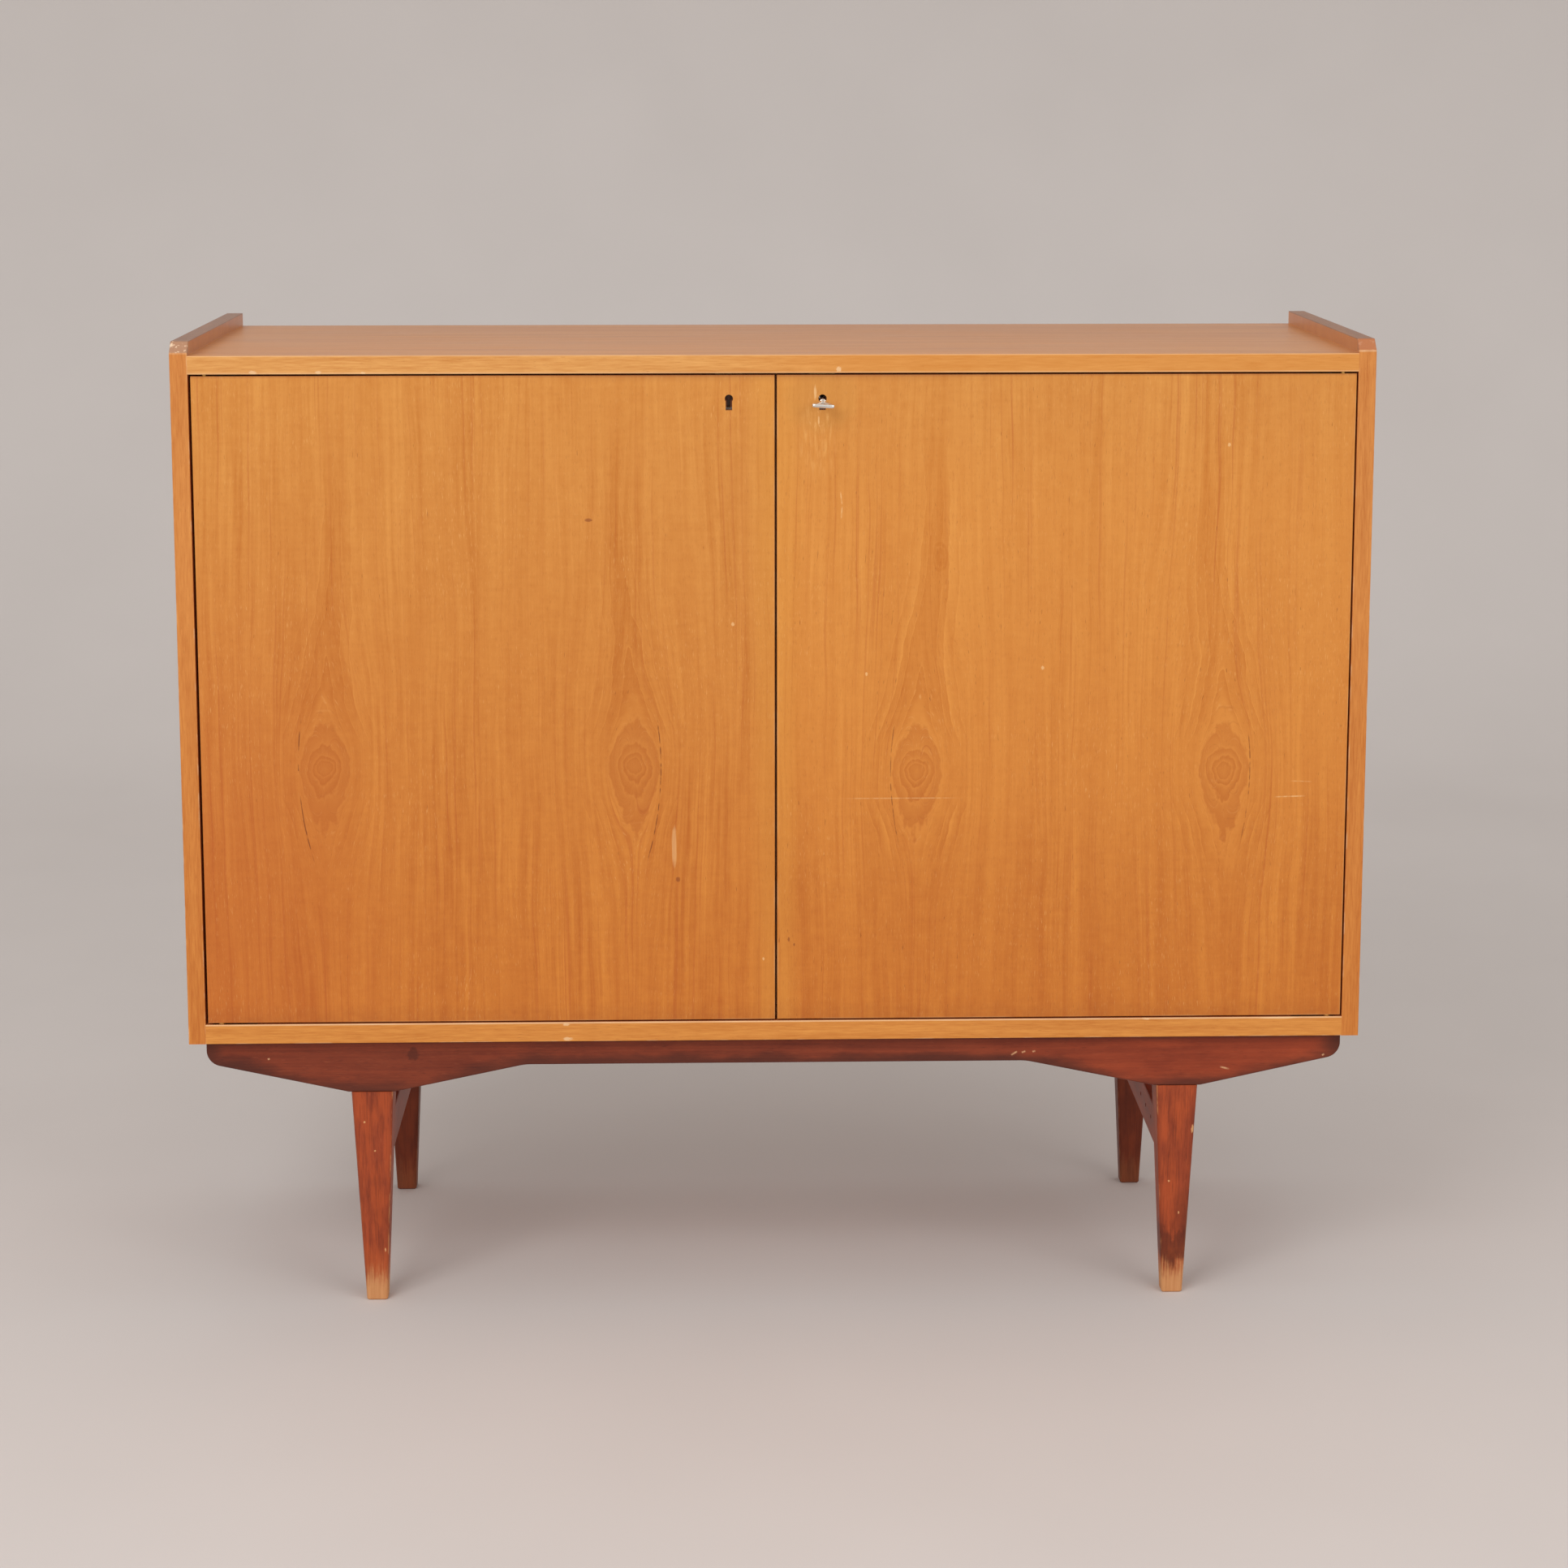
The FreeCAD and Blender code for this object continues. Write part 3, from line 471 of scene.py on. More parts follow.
# %% [markdown]
# Round a knot the grain parts like water round a stone. The stream lines of a round stone have a short
# formula, so the grain's lane is read from it, and the same straight grain then bends by itself. Quiet and
# lively zones take turns along the leaf, as they do in real veneer, and faint ripples lie across the grain.

# %% Grain that flows round the eye
sway = (door_teak.noise(u / 70, v / 260, leaf, 2.0) - 0.5) * 18
squat = v * 0.4
around = u * u + squat * squat
stone, softness = 900, 160
lane = u * (1 - stone / (around + softness)) + sway
away = door_teak.ease(ring, 27, 32)
broad, lines, pores, flecks = straight_grain(door_teak, lane, v * 1.5, leaf * 30)
swell = door_teak.noise(lane / 6, v / 190, leaf * 4, 2.5)
mottle = door_teak.noise(u / 12, v / 16, leaf * 8, 3.0)
lively = door_teak.ease(door_teak.noise(lane / 60, v / 380, leaf * 2 + 6, 2.0), 0.36, 0.66)
ripple = door_teak.noise(lane / 24, v / 5, leaf * 7, 1.0)
print("grain bends round a knot of about", round(stone ** 0.5), "mm")

# %% [markdown]
# Above and below the eye the rings are cut lengthwise and show as flames: slim arches, one inside the
# other. They are contour lines of a ridge that leans a little. Each slice of the ridge starts with a pale
# line and darkens towards the next. A pin knot sits higher up, clear on one leaf and faint on the others.

# %% Flames above and below the eye
drift = (door_teak.noise(v / 80, leaf, 3.0, 2.0) - 0.5) * 16 * door_teak.ease(abs(v), 40, 90)
lean, pin_side, pin_up = 18, 24, 238
leaning = u - door_teak.ease(v, 40, 260) * lean - drift
tip = (v * v + 900) ** 0.5 - 30
arch = (leaning * leaning + 9) ** 0.5 - 3 + tip * 52 / (tip + 58) + lump * 0.4
slices = arch / 10.5 + door_teak.noise(arch / 14, leaf * 3, 6.0, 1.0) * 1.6
step = slices - door_teak.maths("FLOOR", slices)
flame = (1 - door_teak.ease(step, 0.02, 0.14)) * 0.35 + 0.22 - step * 0.62
patchy = 0.35 + door_teak.noise(u / 40, v / 90, leaf * 6, 2.0)
reach = (1 - door_teak.ease(v, 200, 420)) * (1 - door_teak.ease(-v, 60, 130))
reach = reach * door_teak.ease(abs(v), 15, 60)
arched = between(door_teak, arch, 31, 60, 14) * away * reach * patchy
core = between(door_teak, arch, 30, 47, 5) * away
core = core * door_teak.ease(v, 30, 90) * (1 - door_teak.ease(v, 330, 430))
pin_x, pin_z = (u - pin_side) / 7, (v - pin_up) / 15
pin = (pin_x * pin_x + pin_z * pin_z) ** 0.5 + lump * 0.05
pin_knot = (1 - door_teak.ease(pin, 0.5, 0.95)) * 0.24 + between(door_teak, pin, 0.95, 1.1, 0.14) * 0.2
pin_knot = pin_knot * (0.25 + on_right * (1 - outer_leaf) * 0.75)
print("flames lean", lean, "mm, pin knot", pin_up, "mm above the eye")

# %% [markdown]
# All of that is only a tone from dark to pale. Two pairs of teak colours, one for the foot of the door and
# one for its top, turn it into wood; the top is paler partly from sun bleaching and partly as painted light
# from above. The left foot of the front is redder, the right door has a sunnier middle, and the strip where
# the doors meet is yellower. A painter would glaze these over the ground colour one by one, and so do the
# blends.

# %% Colour of the door veneer
# Paler towards the top: partly sun bleaching, partly painted light from above.
rise = door_teak.ease(z, door_low.z - 60, door_high.z + 60)
dark_teak = door_teak.blend(rise, tint(176, 88, 27), tint(191, 114, 40))
pale_teak = door_teak.blend(rise, tint(216, 135, 54), tint(220, 153, 76))
streaks = (broad - 0.5) * 0.6 + (swell - 0.5) * (0.4 + lively * 0.7) + (lines - 0.5) * (0.2 + lively * 0.2)
streaks = streaks + (ripple - 0.5) * 0.16 + (mottle - 0.5) * 0.38
figure = (ring_tone * 1.7 + flame * arched * 0.55 - core * 0.17) * (0.68 + on_right * 0.32) - pin_knot
colour = door_teak.blend(0.56 + streaks * (0.35 + away * 0.65) + figure, dark_teak, pale_teak)
colour = door_teak.blend((1 - away) * 0.14, colour, tint(186, 110, 52))
redder = door_teak.ease(-x, 330, 640) * (1 - door_teak.ease(z, 480, 1000))
colour = door_teak.blend(redder * 0.4, colour, tint(188, 94, 40))
sunny = on_right * between(door_teak, z, 640, 880, 180)
colour = door_teak.blend(sunny * 0.2, colour, tint(234, 154, 68))
colour = door_teak.blend((1 - door_teak.ease(abs(x), 8, 34)) * 0.3, colour, tint(220, 152, 66))
threads = door_teak.ease(door_teak.noise(lane / 3.4, v / 460, leaf * 11, 2.0), 0.56, 0.7) * (0.3 + lively)
colour = door_teak.blend(threads * 0.26, colour, tint(172, 78, 30))
print("door colour nodes so far:", len(door_teak.tree.nodes))

# %% [markdown]
# Pores, flecks and short dark dashes go on next, softly, because they are finer than the eye can count from
# a step away. Beside each eye runs a broken hairline crack: the distance to a bent line, with gaps from
# noise.

# %% Pores, dashes and cracks
colour = door_teak.blend(pores * 0.16, colour, tint(150, 74, 28))
cluster = door_teak.ease(door_teak.noise(x / 130, z / 170, 4.0, 2.0), 0.4, 0.68)
colour = door_teak.blend(flecks * (0.1 + cluster * 0.26), colour, tint(240, 186, 116))
dashes = door_teak.ease(door_teak.noise(lane / 1.4 + 11, v / 13, leaf * 30, 1.0), 0.74, 0.82)
colour = door_teak.blend(dashes * 0.5, colour, tint(122, 58, 22))
crack_noise = door_teak.noise(v / 14, leaf * 9, 5.0, 2.0)
crack_line = (v / 85) * (v / 85) * 10 - 29
aside = abs(u + comb * 0.2 - crack_line)
crack = 1 - door_teak.ease(aside, 0.2, 0.35 + crack_noise * 0.8)
crack = crack * between(door_teak, v, -96 + on_right * 26, 44, 14) * door_teak.ease(crack_noise, 0.4, 0.56)
colour = door_teak.blend(crack * (0.8 - on_right * 0.16), colour, tint(110, 52, 24))
print("door nodes with cracks:", len(door_teak.tree.nodes))

# %% [markdown]
# Wear is local. The door edges are rubbed pale in long stretches, except along the head, which is darker in
# a
# band that is widest in the middle: a painted shadow of the top board, with some dirt. The veneer round the
# right keyhole is dulled by hands, and rubbed pale in streaks below it.

# %% Edges of the doors and the place round the key
rough_edge = door_teak.noise(x / 9, z / 9, 2.0, 3.0)
long_edge = door_teak.ease(door_teak.noise(x / 70, z / 70, 8.0, 2.0), 0.4, 0.62)
hem = rim(door_teak, abs(x), right_low.x, right_high.x, 1.6)
hem = door_teak.larger(hem, rim(door_teak, z, door_low.z, door_high.z, 1.8))
below_head = door_high.z - z
pale_edges = hem * long_edge * (0.35 + rough_edge) * door_teak.ease(below_head, 2, 6)
colour = door_teak.blend(pale_edges * 0.5, colour, tint(236, 186, 130))
handled = spot(door_teak, x, z, (50, 1022), (46, 40), 0.5)
colour = door_teak.blend(handled * 0.3, colour, tint(200, 140, 66))
polish = door_teak.ease(door_teak.noise(x / 2.6, z / 20, 9.0, 2.0), 0.44, 0.72)
polish = polish * spot(door_teak, x, z, (45, 984), (24, 56), 0.5)
colour = door_teak.blend(polish * 0.34, colour, tint(236, 178, 104))
print("door nodes with rubbed edges:", len(door_teak.tree.nodes))

# %% [markdown]
# Scratches, dots and dents have their own places, read off the picture. Pale marks stand for broken
# lacquer, such as the scores that the key's bow left, and dark ones for dents that took up dirt. The shades
# at the foot and the head go over all of them.

# %% Dots, scratches and dents
rubbed = door_teak.ease(door_teak.noise(x / 1.8, z / 8, 7.0, 2.0), 0.6, 0.7)
pale_marks = spot(door_teak, x, z, (46, 1012), (16, 30), 0.5) * rubbed * 0.5
dots = [((42.5, 1031), (1.8, 9)), ((46.5, 1001), (1.1, 5)), ((-47, 778), (2, 2.6)), ((492, 973), (2, 2.4))]
dots += [((99, 722), (1.6, 2.6)), ((292, 728), (2, 2.6)), ((-14, 402), (1.4, 2))]
pale_marks = door_teak.larger(pale_marks, spots(door_teak, x, z, dots))
scores = [((70, 924), (72, 908)), ((72, 908), (71, 893)), ((548, 582), (586, 583))]
pale_marks = door_teak.larger(pale_marks, scratches(door_teak, x, z, scores, 1.1))
faint_scores = [((66, 583), (206, 583)), ((566, 600), (592, 599))]
faint_marks = scratches(door_teak, x, z, faint_scores, 0.9)
faint_marks = door_teak.larger(faint_marks, spot(door_teak, x, z, (-112, 530), (3.2, 26), 0.5))
colour = door_teak.blend(pale_marks * 0.56 + faint_marks * 0.36, colour, tint(244, 200, 142))
dents = [((-108, 493), (3, 3.4)), ((-203, 893), (5, 2.2)), ((14, 424), (1.5, 3)), ((20, 418), (1.2, 2))]
dark_marks = spots(door_teak, x, z, dents, 0.4)
foot_shade = (1 - door_teak.ease(z, door_low.z, door_low.z + 26)) * rough_edge
colour = door_teak.blend(dark_marks * 0.6 + foot_shade * 0.3, colour, tint(126, 56, 28))
# Painted shadow of the top board on the door's head, with some dirt: thin under the gap, wider in the
# middle.
wide_head_shade_and_dirt = (1 - door_teak.ease(below_head, 0, 9)) * (1 - door_teak.ease(abs(x), 120, 330)) * 0.2
head_shade = (1 - door_teak.ease(below_head, 0.4, 2.8)) * 0.32 + wide_head_shade_and_dirt
colour = door_teak.blend(head_shade, colour, tint(126, 68, 44))
print("door nodes with wear:", len(door_teak.tree.nodes))

# %% [markdown]
# Behind the front face the doors are plain: matt lipped edges and an inner face of straight, redder veneer.
# The gloss is an old hand-rubbed lacquer, so the roughness is in the middle and follows the lines of the
# grain.

# %% Edges, inside and gloss of the doors
on_front = 1 - door_teak.ease(y, front_y + 0.9, front_y + 1.4)
plain_broad, plain_lines, plain_pores, plain_flecks = straight_grain(door_teak, x, z, y)
plain = 0.5 + (plain_lines - 0.5) * 0.7 + (plain_broad - 0.5) * 0.9
inside = door_teak.blend(plain, tint(162, 87, 46), tint(204, 128, 74))
inside = door_teak.blend(plain_pores * 0.3, inside, tint(112, 54, 28))
inside = door_teak.blend(plain_flecks * 0.2, inside, tint(226, 160, 100))
edge_skin = 0.3
edge = rim(door_teak, abs(x), right_low.x, right_high.x, edge_skin)
edge = door_teak.larger(edge, rim(door_teak, z, door_low.z, door_high.z, edge_skin)) * (1 - on_front)
edge_teak = door_teak.blend(plain_lines, tint(178, 98, 48), tint(206, 126, 66))
inside = door_teak.blend(edge, inside, edge_teak)
colour = door_teak.blend(on_front, inside, colour)
gloss = 0.38 + lines * 0.12 + pale_edges * 0.12 + edge * 0.5
door_teak.shade(Base_Color=colour, Roughness=gloss, Specular_IOR_Level=0.25)
door_teak.relief(lines * 0.35 - pores * 0.6 - pale_marks * 0.5, 0.06)
print("door nodes:", len(door_teak.tree.nodes))


# %% [markdown]
# ## Case veneer
# The sides, boards, shelves and partition carry plainer, straight-grained veneer of the same teak, and the
# front edges are lipped with thin strips of it. Veneer runs upright on the sides and across on the boards,
# so one function takes the direction of the grain, and the colours of the lipping at the foot and at the
# top.


# %% Teak for the case
def case_teak(name, upright, lip_low, lip_high):
    """Straight teak veneer with lipped front edges; a lip is given by its dark and its pale colour."""
    finish = Finish(name)
    x, y, z = finish.place()
    across, along, depth = (y, z, x) if upright else (y, x, z)
    broad, lines, pores, flecks = straight_grain(finish, across, along, depth)
    rise = finish.ease(z, case_low.z, case_high.z)
    dark_teak = finish.blend(rise, tint(182, 98, 44), tint(196, 116, 58))
    pale_teak = finish.blend(rise, tint(212, 134, 68), tint(224, 156, 90))
    colour = finish.blend(0.54 + (broad - 0.5) * 0.75 + (lines - 0.5) * 0.5, dark_teak, pale_teak)
    colour = finish.blend(pores * 0.34, colour, tint(146, 72, 32))
    colour = finish.blend(flecks * 0.24, colour, tint(238, 186, 124))
    run, strip = (z, x) if upright else (x, z)
    dashes = finish.noise(strip / 1.7, run / 24, 4.0, 3.0)
    streak = finish.noise(strip / 7, run / 240, 8.0, 2.0)
    lip_tone = 0.5 + (dashes - 0.5) * 1.1 + (streak - 0.5) * 0.9
    lip_dark = finish.blend(rise, lip_low[0], lip_high[0])
    lip_pale = finish.blend(rise, lip_low[1], lip_high[1])
    lip_colour = finish.blend(lip_tone, lip_dark, lip_pale)
    specks = finish.ease(finish.noise(strip / 1.2 + 9, run / 9, 6.0, 1.0), 0.64, 0.78)
    lip_colour = finish.blend(specks * 0.3, lip_colour, tint(150, 82, 38))
    lip = 1 - finish.ease(y, front_y + 1.0, front_y + 1.6)
    return finish, (x, y, z), lip, finish.blend(lip, colour, lip_colour), (lines, pores)


print("case teak is ready for boards and sides")

# %% [markdown]
# ## Boards
# The top board's lipping is palest on the left, where light from a window bleached it, and more golden to
# the right. Both boards have small chips along their edges. The arrises along the doors and the front arris
# of the top carry a pale line, partly rubbed wear and partly a painted highlight where the arris catches
# the light. Masks near an edge, broken up by noise, say where the chips, wear and highlight are.

# %% Lipping and chips of the boards
board_low = (tint(190, 112, 44), tint(228, 156, 76))
board_high = (tint(194, 123, 55), tint(233, 175, 103))
board_teak, (x, y, z), lip, colour, (lines, pores) = case_teak("board_teak", False, board_low, board_high)
at_top = board_teak.ease(z, top_low.z - 4, top_low.z - 3)
golden = board_teak.ease(x, -120, 120) * at_top * lip
colour = board_teak.blend(golden * 0.5, colour, tint(211, 133, 49))
at_bottom = 1 - board_teak.ease(z, bottom_high.z + 9, bottom_high.z + 14)
edges = board_teak.larger(
    rim(board_teak, z, top_low.z, top_high.z, 1.4) * at_top,
    rim(board_teak, z, bottom_low.z, bottom_high.z, 1.4) * at_bottom,
)
near_front = 1 - board_teak.ease(y, front_y + 1.5, front_y + 3)
chips = board_teak.ease(board_teak.noise(x / 22, z / 6, 6.0, 3.0), 0.5, 0.66) * 0.6
# Pale lines on the arrises by the doors and on the top's front arris: rubbed wear and a painted highlight.
under_doors = between(board_teak, z, bottom_high.z - 1.2, bottom_high.z + 1, 0.5)
over_doors = between(board_teak, z, top_low.z - 1, top_low.z + 1.5, 0.5) * 0.5
top_arris = between(board_teak, z, top_high.z - 0.7, top_high.z + 1, 0.4) * 0.7
rubbed_and_lit_line = board_teak.larger(board_teak.larger(under_doors, top_arris), over_doors)
rubbed_and_lit_line = rubbed_and_lit_line * (0.25 + board_teak.noise(x / 60, 1.0, 5.0, 2.0) * 0.9)
pale_edges = board_teak.larger(edges * chips, rubbed_and_lit_line) * near_front
colour = board_teak.blend(pale_edges * 0.8, colour, tint(244, 208, 164))
gouge_marks = [((-561, 1054), (5, 2.6)), ((-491, 1054), (4, 2.2)), ((-443, 1053), (3, 2))]
gouge_marks += [((68, 1056), (3, 3.4)), ((-233, 328.5), (4.5, 1.8)), ((-231, 312), (6, 2.4))]
gouge_marks += [((412, 330), (5, 1.4)), ((560, 330), (24, 1.2))]
gouges = spots(board_teak, x, z, gouge_marks, 1.1) * lip
colour = board_teak.blend(gouges * 0.65, colour, tint(240, 202, 154))
print("chips on the boards:", len(gouge_marks))

# %% [markdown]
# The top face is the only large face that mirrors the room: lacquer over brown veneer, cloudy with age. A
# clear coat over a duller base gives the greyish sheen, its weight follows soft clouds, and the veneer
# shows in long streaks along the board. The strips that look into the gaps round the doors got no polish,
# so they are matt, and they are painted redder for the warm light that bounces into the gaps.

# %% Top face and gloss of the boards
on_top = board_teak.ease(z, top_high.z - 0.4, top_high.z - 0.1)
cloud = board_teak.noise(x / 160, y / 70, 3.0, 3.0)
long_streaks = board_teak.noise(x / 420, y / 16, 5.0, 4.0)
to_back = board_teak.ease(y, front_y, front_y + 420)
top_brown = board_teak.blend(0.5 + (long_streaks - 0.5) * 1.6, tint(176, 104, 42), tint(226, 154, 74))
colour = board_teak.blend(on_top * (0.4 + cloud * 0.4), colour, top_brown)
colour = board_teak.blend(on_top * to_back * 0.22, colour, tint(140, 84, 44))
specks = board_teak.ease(board_teak.noise(x / 3, y / 3, 9.0, 2.0), 0.75, 0.8) * on_top
colour = board_teak.blend(specks * 0.4, colour, tint(236, 214, 188))
reveal_front, reveal_back, reveal_bounce_tint = front_y + 1.5, front_y + 24, tint(190, 98, 42)
reveal = between(board_teak, z, top_low.z - 1, top_low.z + 0.2, 0.2)
reveal = board_teak.larger(reveal, between(board_teak, z, bottom_high.z - 0.2, bottom_high.z + 1, 0.2))
reveal = reveal * between(board_teak, y, reveal_front, reveal_back, 1)
# Painted bounce light: the faces inside the gaps round the doors are made redder.
colour = board_teak.blend(reveal * 0.7, colour, reveal_bounce_tint)
gloss = 0.36 + lines * 0.12 + pale_edges * 0.15 + reveal * 0.5
board_teak.shade(Base_Color=colour, Roughness=gloss, Specular_IOR_Level=0.25)
board_teak.shade(Coat_Weight=(1 - lip) * (1 - reveal) * (0.2 + cloud * 0.38), Coat_Roughness=0.22)
board_teak.relief(lines * 0.35 - pores * 0.5 - gouges * 0.7, 0.06)
print("board nodes:", len(board_teak.tree.nodes))

# %% [markdown]
# ## Sides
# The sides stand a little above the top and their front tips are cut off at a slant. The raised strips are
# handled most, so they have darkened, and the left tip has lost flakes of lacquer. The same edge masks as
# on the boards do the worn arrises.

# %% Lipping and raised strips of the sides
side_low = (tint(182, 99, 37), tint(220, 143, 67))
side_high = (tint(184, 105, 43), tint(222, 151, 79))
side_teak, (x, y, z), lip, colour, (lines, pores) = case_teak("side_teak", True, side_low, side_high)
inner_x, outer_x = top_high.x, -case_low.x
on_sides = side_teak.ease(abs(x), inner_x - 2, inner_x - 1)
chips = side_teak.ease(side_teak.noise(x / 5, z / 30, 3.0, 3.0), 0.5, 0.66)
near_front = 1 - side_teak.ease(y, front_y + 2, front_y + 6)
pale_edges = rim(side_teak, abs(x), inner_x, outer_x, 1.5) * chips * near_front * on_sides
colour = side_teak.blend(pale_edges * 0.5, colour, tint(238, 198, 150))
left_side = 1 - side_teak.ease(x, -1, 1)
smear = side_teak.noise(x / 9, y / 36, z / 9, 3.0)
raised = side_teak.ease(z, top_high.z - 0.5, top_high.z + 1.5) * (1 - lip) * (0.6 + left_side * 0.4)
colour = side_teak.blend(raised * (0.3 + smear * 0.4), colour, tint(150, 80, 42))
ledge = side_teak.ease(z, case_high.z - 1.2, case_high.z - 0.4)
colour = side_teak.blend(ledge * (0.45 + smear * 0.4), colour, tint(106, 70, 50))
print("sides stand", round(case_high.z - top_high.z, 1), "mm above the top")

# %% [markdown]
# The slanted tips catch the light from above, so their lower arris shows as a pale line, and the flakes on
# the left tip show raw wood. Beside the doors the sides have the same matt strips as the boards.

# %% Slanted tips and gloss of the sides
slant = 12.0
slope = side_teak.ease(z, case_high.z - slant - 0.2, case_high.z - slant + 0.6)
slope = slope * (1 - side_teak.ease(y, front_y + slant - 0.5, front_y + slant + 0.5)) * on_sides
tip_noise = side_teak.noise(x / 5, y / 5, z / 5, 3.0)
slope_teak = side_teak.blend(left_side, tint(176, 108, 70), tint(168, 130, 104))
colour = side_teak.blend(slope * 0.75, colour, slope_teak)
flakes = slope * side_teak.ease(tip_noise, 0.57, 0.65) * (0.15 + left_side * 0.85)
colour = side_teak.blend(flakes * 0.8, colour, tint(240, 210, 176))
lower_rim = between(side_teak, z, case_high.z - slant - 1.2, case_high.z - slant + 0.3, 0.5) * near_front
colour = side_teak.blend(lower_rim * (0.5 - left_side * 0.3) * tip_noise * 1.4, colour, tint(244, 212, 172))
reveal = between(side_teak, abs(x), inner_x - 1, inner_x + 0.2, 0.2)
reveal = reveal * between(side_teak, y, reveal_front, reveal_back, 1)
reveal = reveal * (1 - side_teak.ease(z, top_low.z, top_low.z + 1))
# Painted bounce light: the side faces inside the gaps beside the doors are made redder.
colour = side_teak.blend(reveal * 0.7, colour, reveal_bounce_tint)
gloss = 0.36 + lines * 0.12 + pale_edges * 0.15 + reveal * 0.5
side_teak.shade(Base_Color=colour, Roughness=gloss, Specular_IOR_Level=0.25)
side_teak.shade(Coat_Weight=(1 - lip) * (1 - reveal) * (0.16 + raised * 0.24), Coat_Roughness=0.24)
side_teak.relief(lines * 0.35 - pores * 0.5 - flakes * 0.6, 0.06)
print("side nodes:", len(side_teak.tree.nodes))


# %% [markdown]
# ## Stand
# The stand is beech, stained red-brown to go with the teak. Stain sits darker in the blotchy places and in
# the corners, and goes first from the arrises and the feet, where bare beech shows. The grain runs along
# each part: across the aprons, up the legs and back along the stretchers.


# %% Stained beech
def stained_beech(name, grain):
    """Red-brown stain over beech, with blotches, pores and faded places."""
    finish = Finish(name)
    x, y, z = finish.place()
    across, along, depth = {"x": (z, x, y), "y": (z, y, x), "z": (x, z, y)}[grain]
    broad, lines, pores, flecks = straight_grain(finish, across, along, depth)
    blotch = finish.noise(across / 22, along / 70, depth / 22, 3.0)
    cloud = finish.noise(across / 60, along / 130, depth / 60, 3.0)
    tone = 0.5 + (blotch - 0.5) * 1.1 + (cloud - 0.5) * 0.9 + (lines - 0.5) * 0.7 + (broad - 0.5) * 0.4
    colour = finish.blend(tone, stain_dark, stain_pale)
    colour = finish.blend(pores * 0.4, colour, tint(84, 34, 24))
    colour = finish.blend(flecks * 0.25, colour, tint(190, 104, 66))
    return finish, (x, y, z), colour, (blotch, lines, pores)


stain_dark, stain_pale, bare_beech = tint(98, 37, 24), tint(172, 77, 44), tint(226, 172, 116)
for stain in (stain_dark, stain_pale):
    print("stain:", [round(part, 3) for part in stain[:3]])

# %% [markdown]
# The aprons were toned when they were new: the sprayer went round their outline, so the stain is darkest
# along the sloping underside and the tips. Along the top edge the dark band is a painted shadow of the case
# above. The distance to that outline is a sum of two smooth steps. A small knot and a few chips lie where
# the real apron has them.

# %% Aprons
apron_beech, (x, y, z), colour, (blotch, lines, pores) = stained_beech("apron_beech", "x")
apron_low, apron_high = box_mm("front_apron")
leg_low, leg_high = box_mm("front_left_leg")
leg_x = (leg_low.x + leg_high.x) / -2
underside = apron_low.z + apron_beech.ease(abs(abs(x) - leg_x), 26, 190) * 32
toning_width = 17 + apron_beech.ease(-x, 100, 500) * 9
toning_and_shadow = 1 - apron_beech.ease((z + (blotch - 0.5) * 20 - underside) / toning_width, 0, 1)
# Painted shadow of the case above: a dark band along the apron's top edge, joined to the toning.
case_shadow_band = apron_beech.ease(z + (blotch - 0.5) * 9, apron_high.z - 10, apron_high.z - 2)
toning_and_shadow = apron_beech.larger(toning_and_shadow, case_shadow_band)
toning_and_shadow = apron_beech.larger(toning_and_shadow, apron_beech.ease(abs(x), apron_high.x - 34, apron_high.x - 3))
toning_and_shadow = apron_beech.larger(toning_and_shadow, (1 - apron_beech.ease(x, 180, 420)) * blotch * 0.7)
redder = (1 - toning_and_shadow) * apron_beech.ease(x, 60, 500) * 0.3
colour = apron_beech.blend(redder, colour, tint(148, 56, 28))
colour = apron_beech.blend(toning_and_shadow * 0.74, colour, tint(66, 34, 27))
knot = spot(apron_beech, x, z, (-404, 291), (8, 9), 1.0)
colour = apron_beech.blend(knot * 0.5, colour, tint(62, 28, 22))
nicks = [((263, 284), (271, 289)), ((275, 287), (280, 289)), ((287, 288), (291, 289))]
nicks += [((498, 269), (510, 266)), ((613, 281), (616, 283)), ((-566, 286), (-563, 287))]
on_face = 1 - apron_beech.ease(y, apron_low.y + 3, apron_low.y + 6)
pale_nicks = scratches(apron_beech, x, z, nicks, 1.5) * on_face
colour = apron_beech.blend(pale_nicks * 0.75, colour, tint(226, 178, 132))
apron_beech.shade(Base_Color=colour, Roughness=0.36 + lines * 0.14, Specular_IOR_Level=0.25)
apron_beech.relief(lines * 0.4 - pores * 0.5 - pale_nicks * 0.5, 0.07)
print("apron nodes:", len(apron_beech.tree.nodes))

# %% [markdown]
# A leg tapers to a foot that has been kicked and mopped for decades. Near the floor the stain is gone in
# ragged streaks, the inner arris is rubbed bare in places, and the right front foot has a dark band of damp
# above the bare part. The half width of the leg at each height tells the finish how far the arris is.

# %% Wear of the legs
leg_beech, (x, y, z), colour, (blotch, lines, pores) = stained_beech("leg_beech", "z")
foot_half, top_half, taper_height = 11.7, 23.25, 247.5
leg_depth = (leg_high.y - leg_low.y) / 2
half = foot_half + (top_half - foot_half) * leg_beech.maths("MINIMUM", z / taper_height, 1.0)
from_middle = abs(x) - leg_x
back_low, back_high = box_mm("back_left_leg")
front_mid, back_mid = (leg_low.y + leg_high.y) / 2, (back_low.y + back_high.y) / 2
from_depth = abs(abs(y - (front_mid + back_mid) / 2) - (back_mid - front_mid) / 2)
arris = leg_beech.ease(abs(from_middle) - half, -2.0, -0.6)
past_face = from_depth - half * leg_depth / top_half
arris = arris * leg_beech.ease(past_face, -2.4, -0.8)
at_back = leg_beech.ease(y, -20, 20)
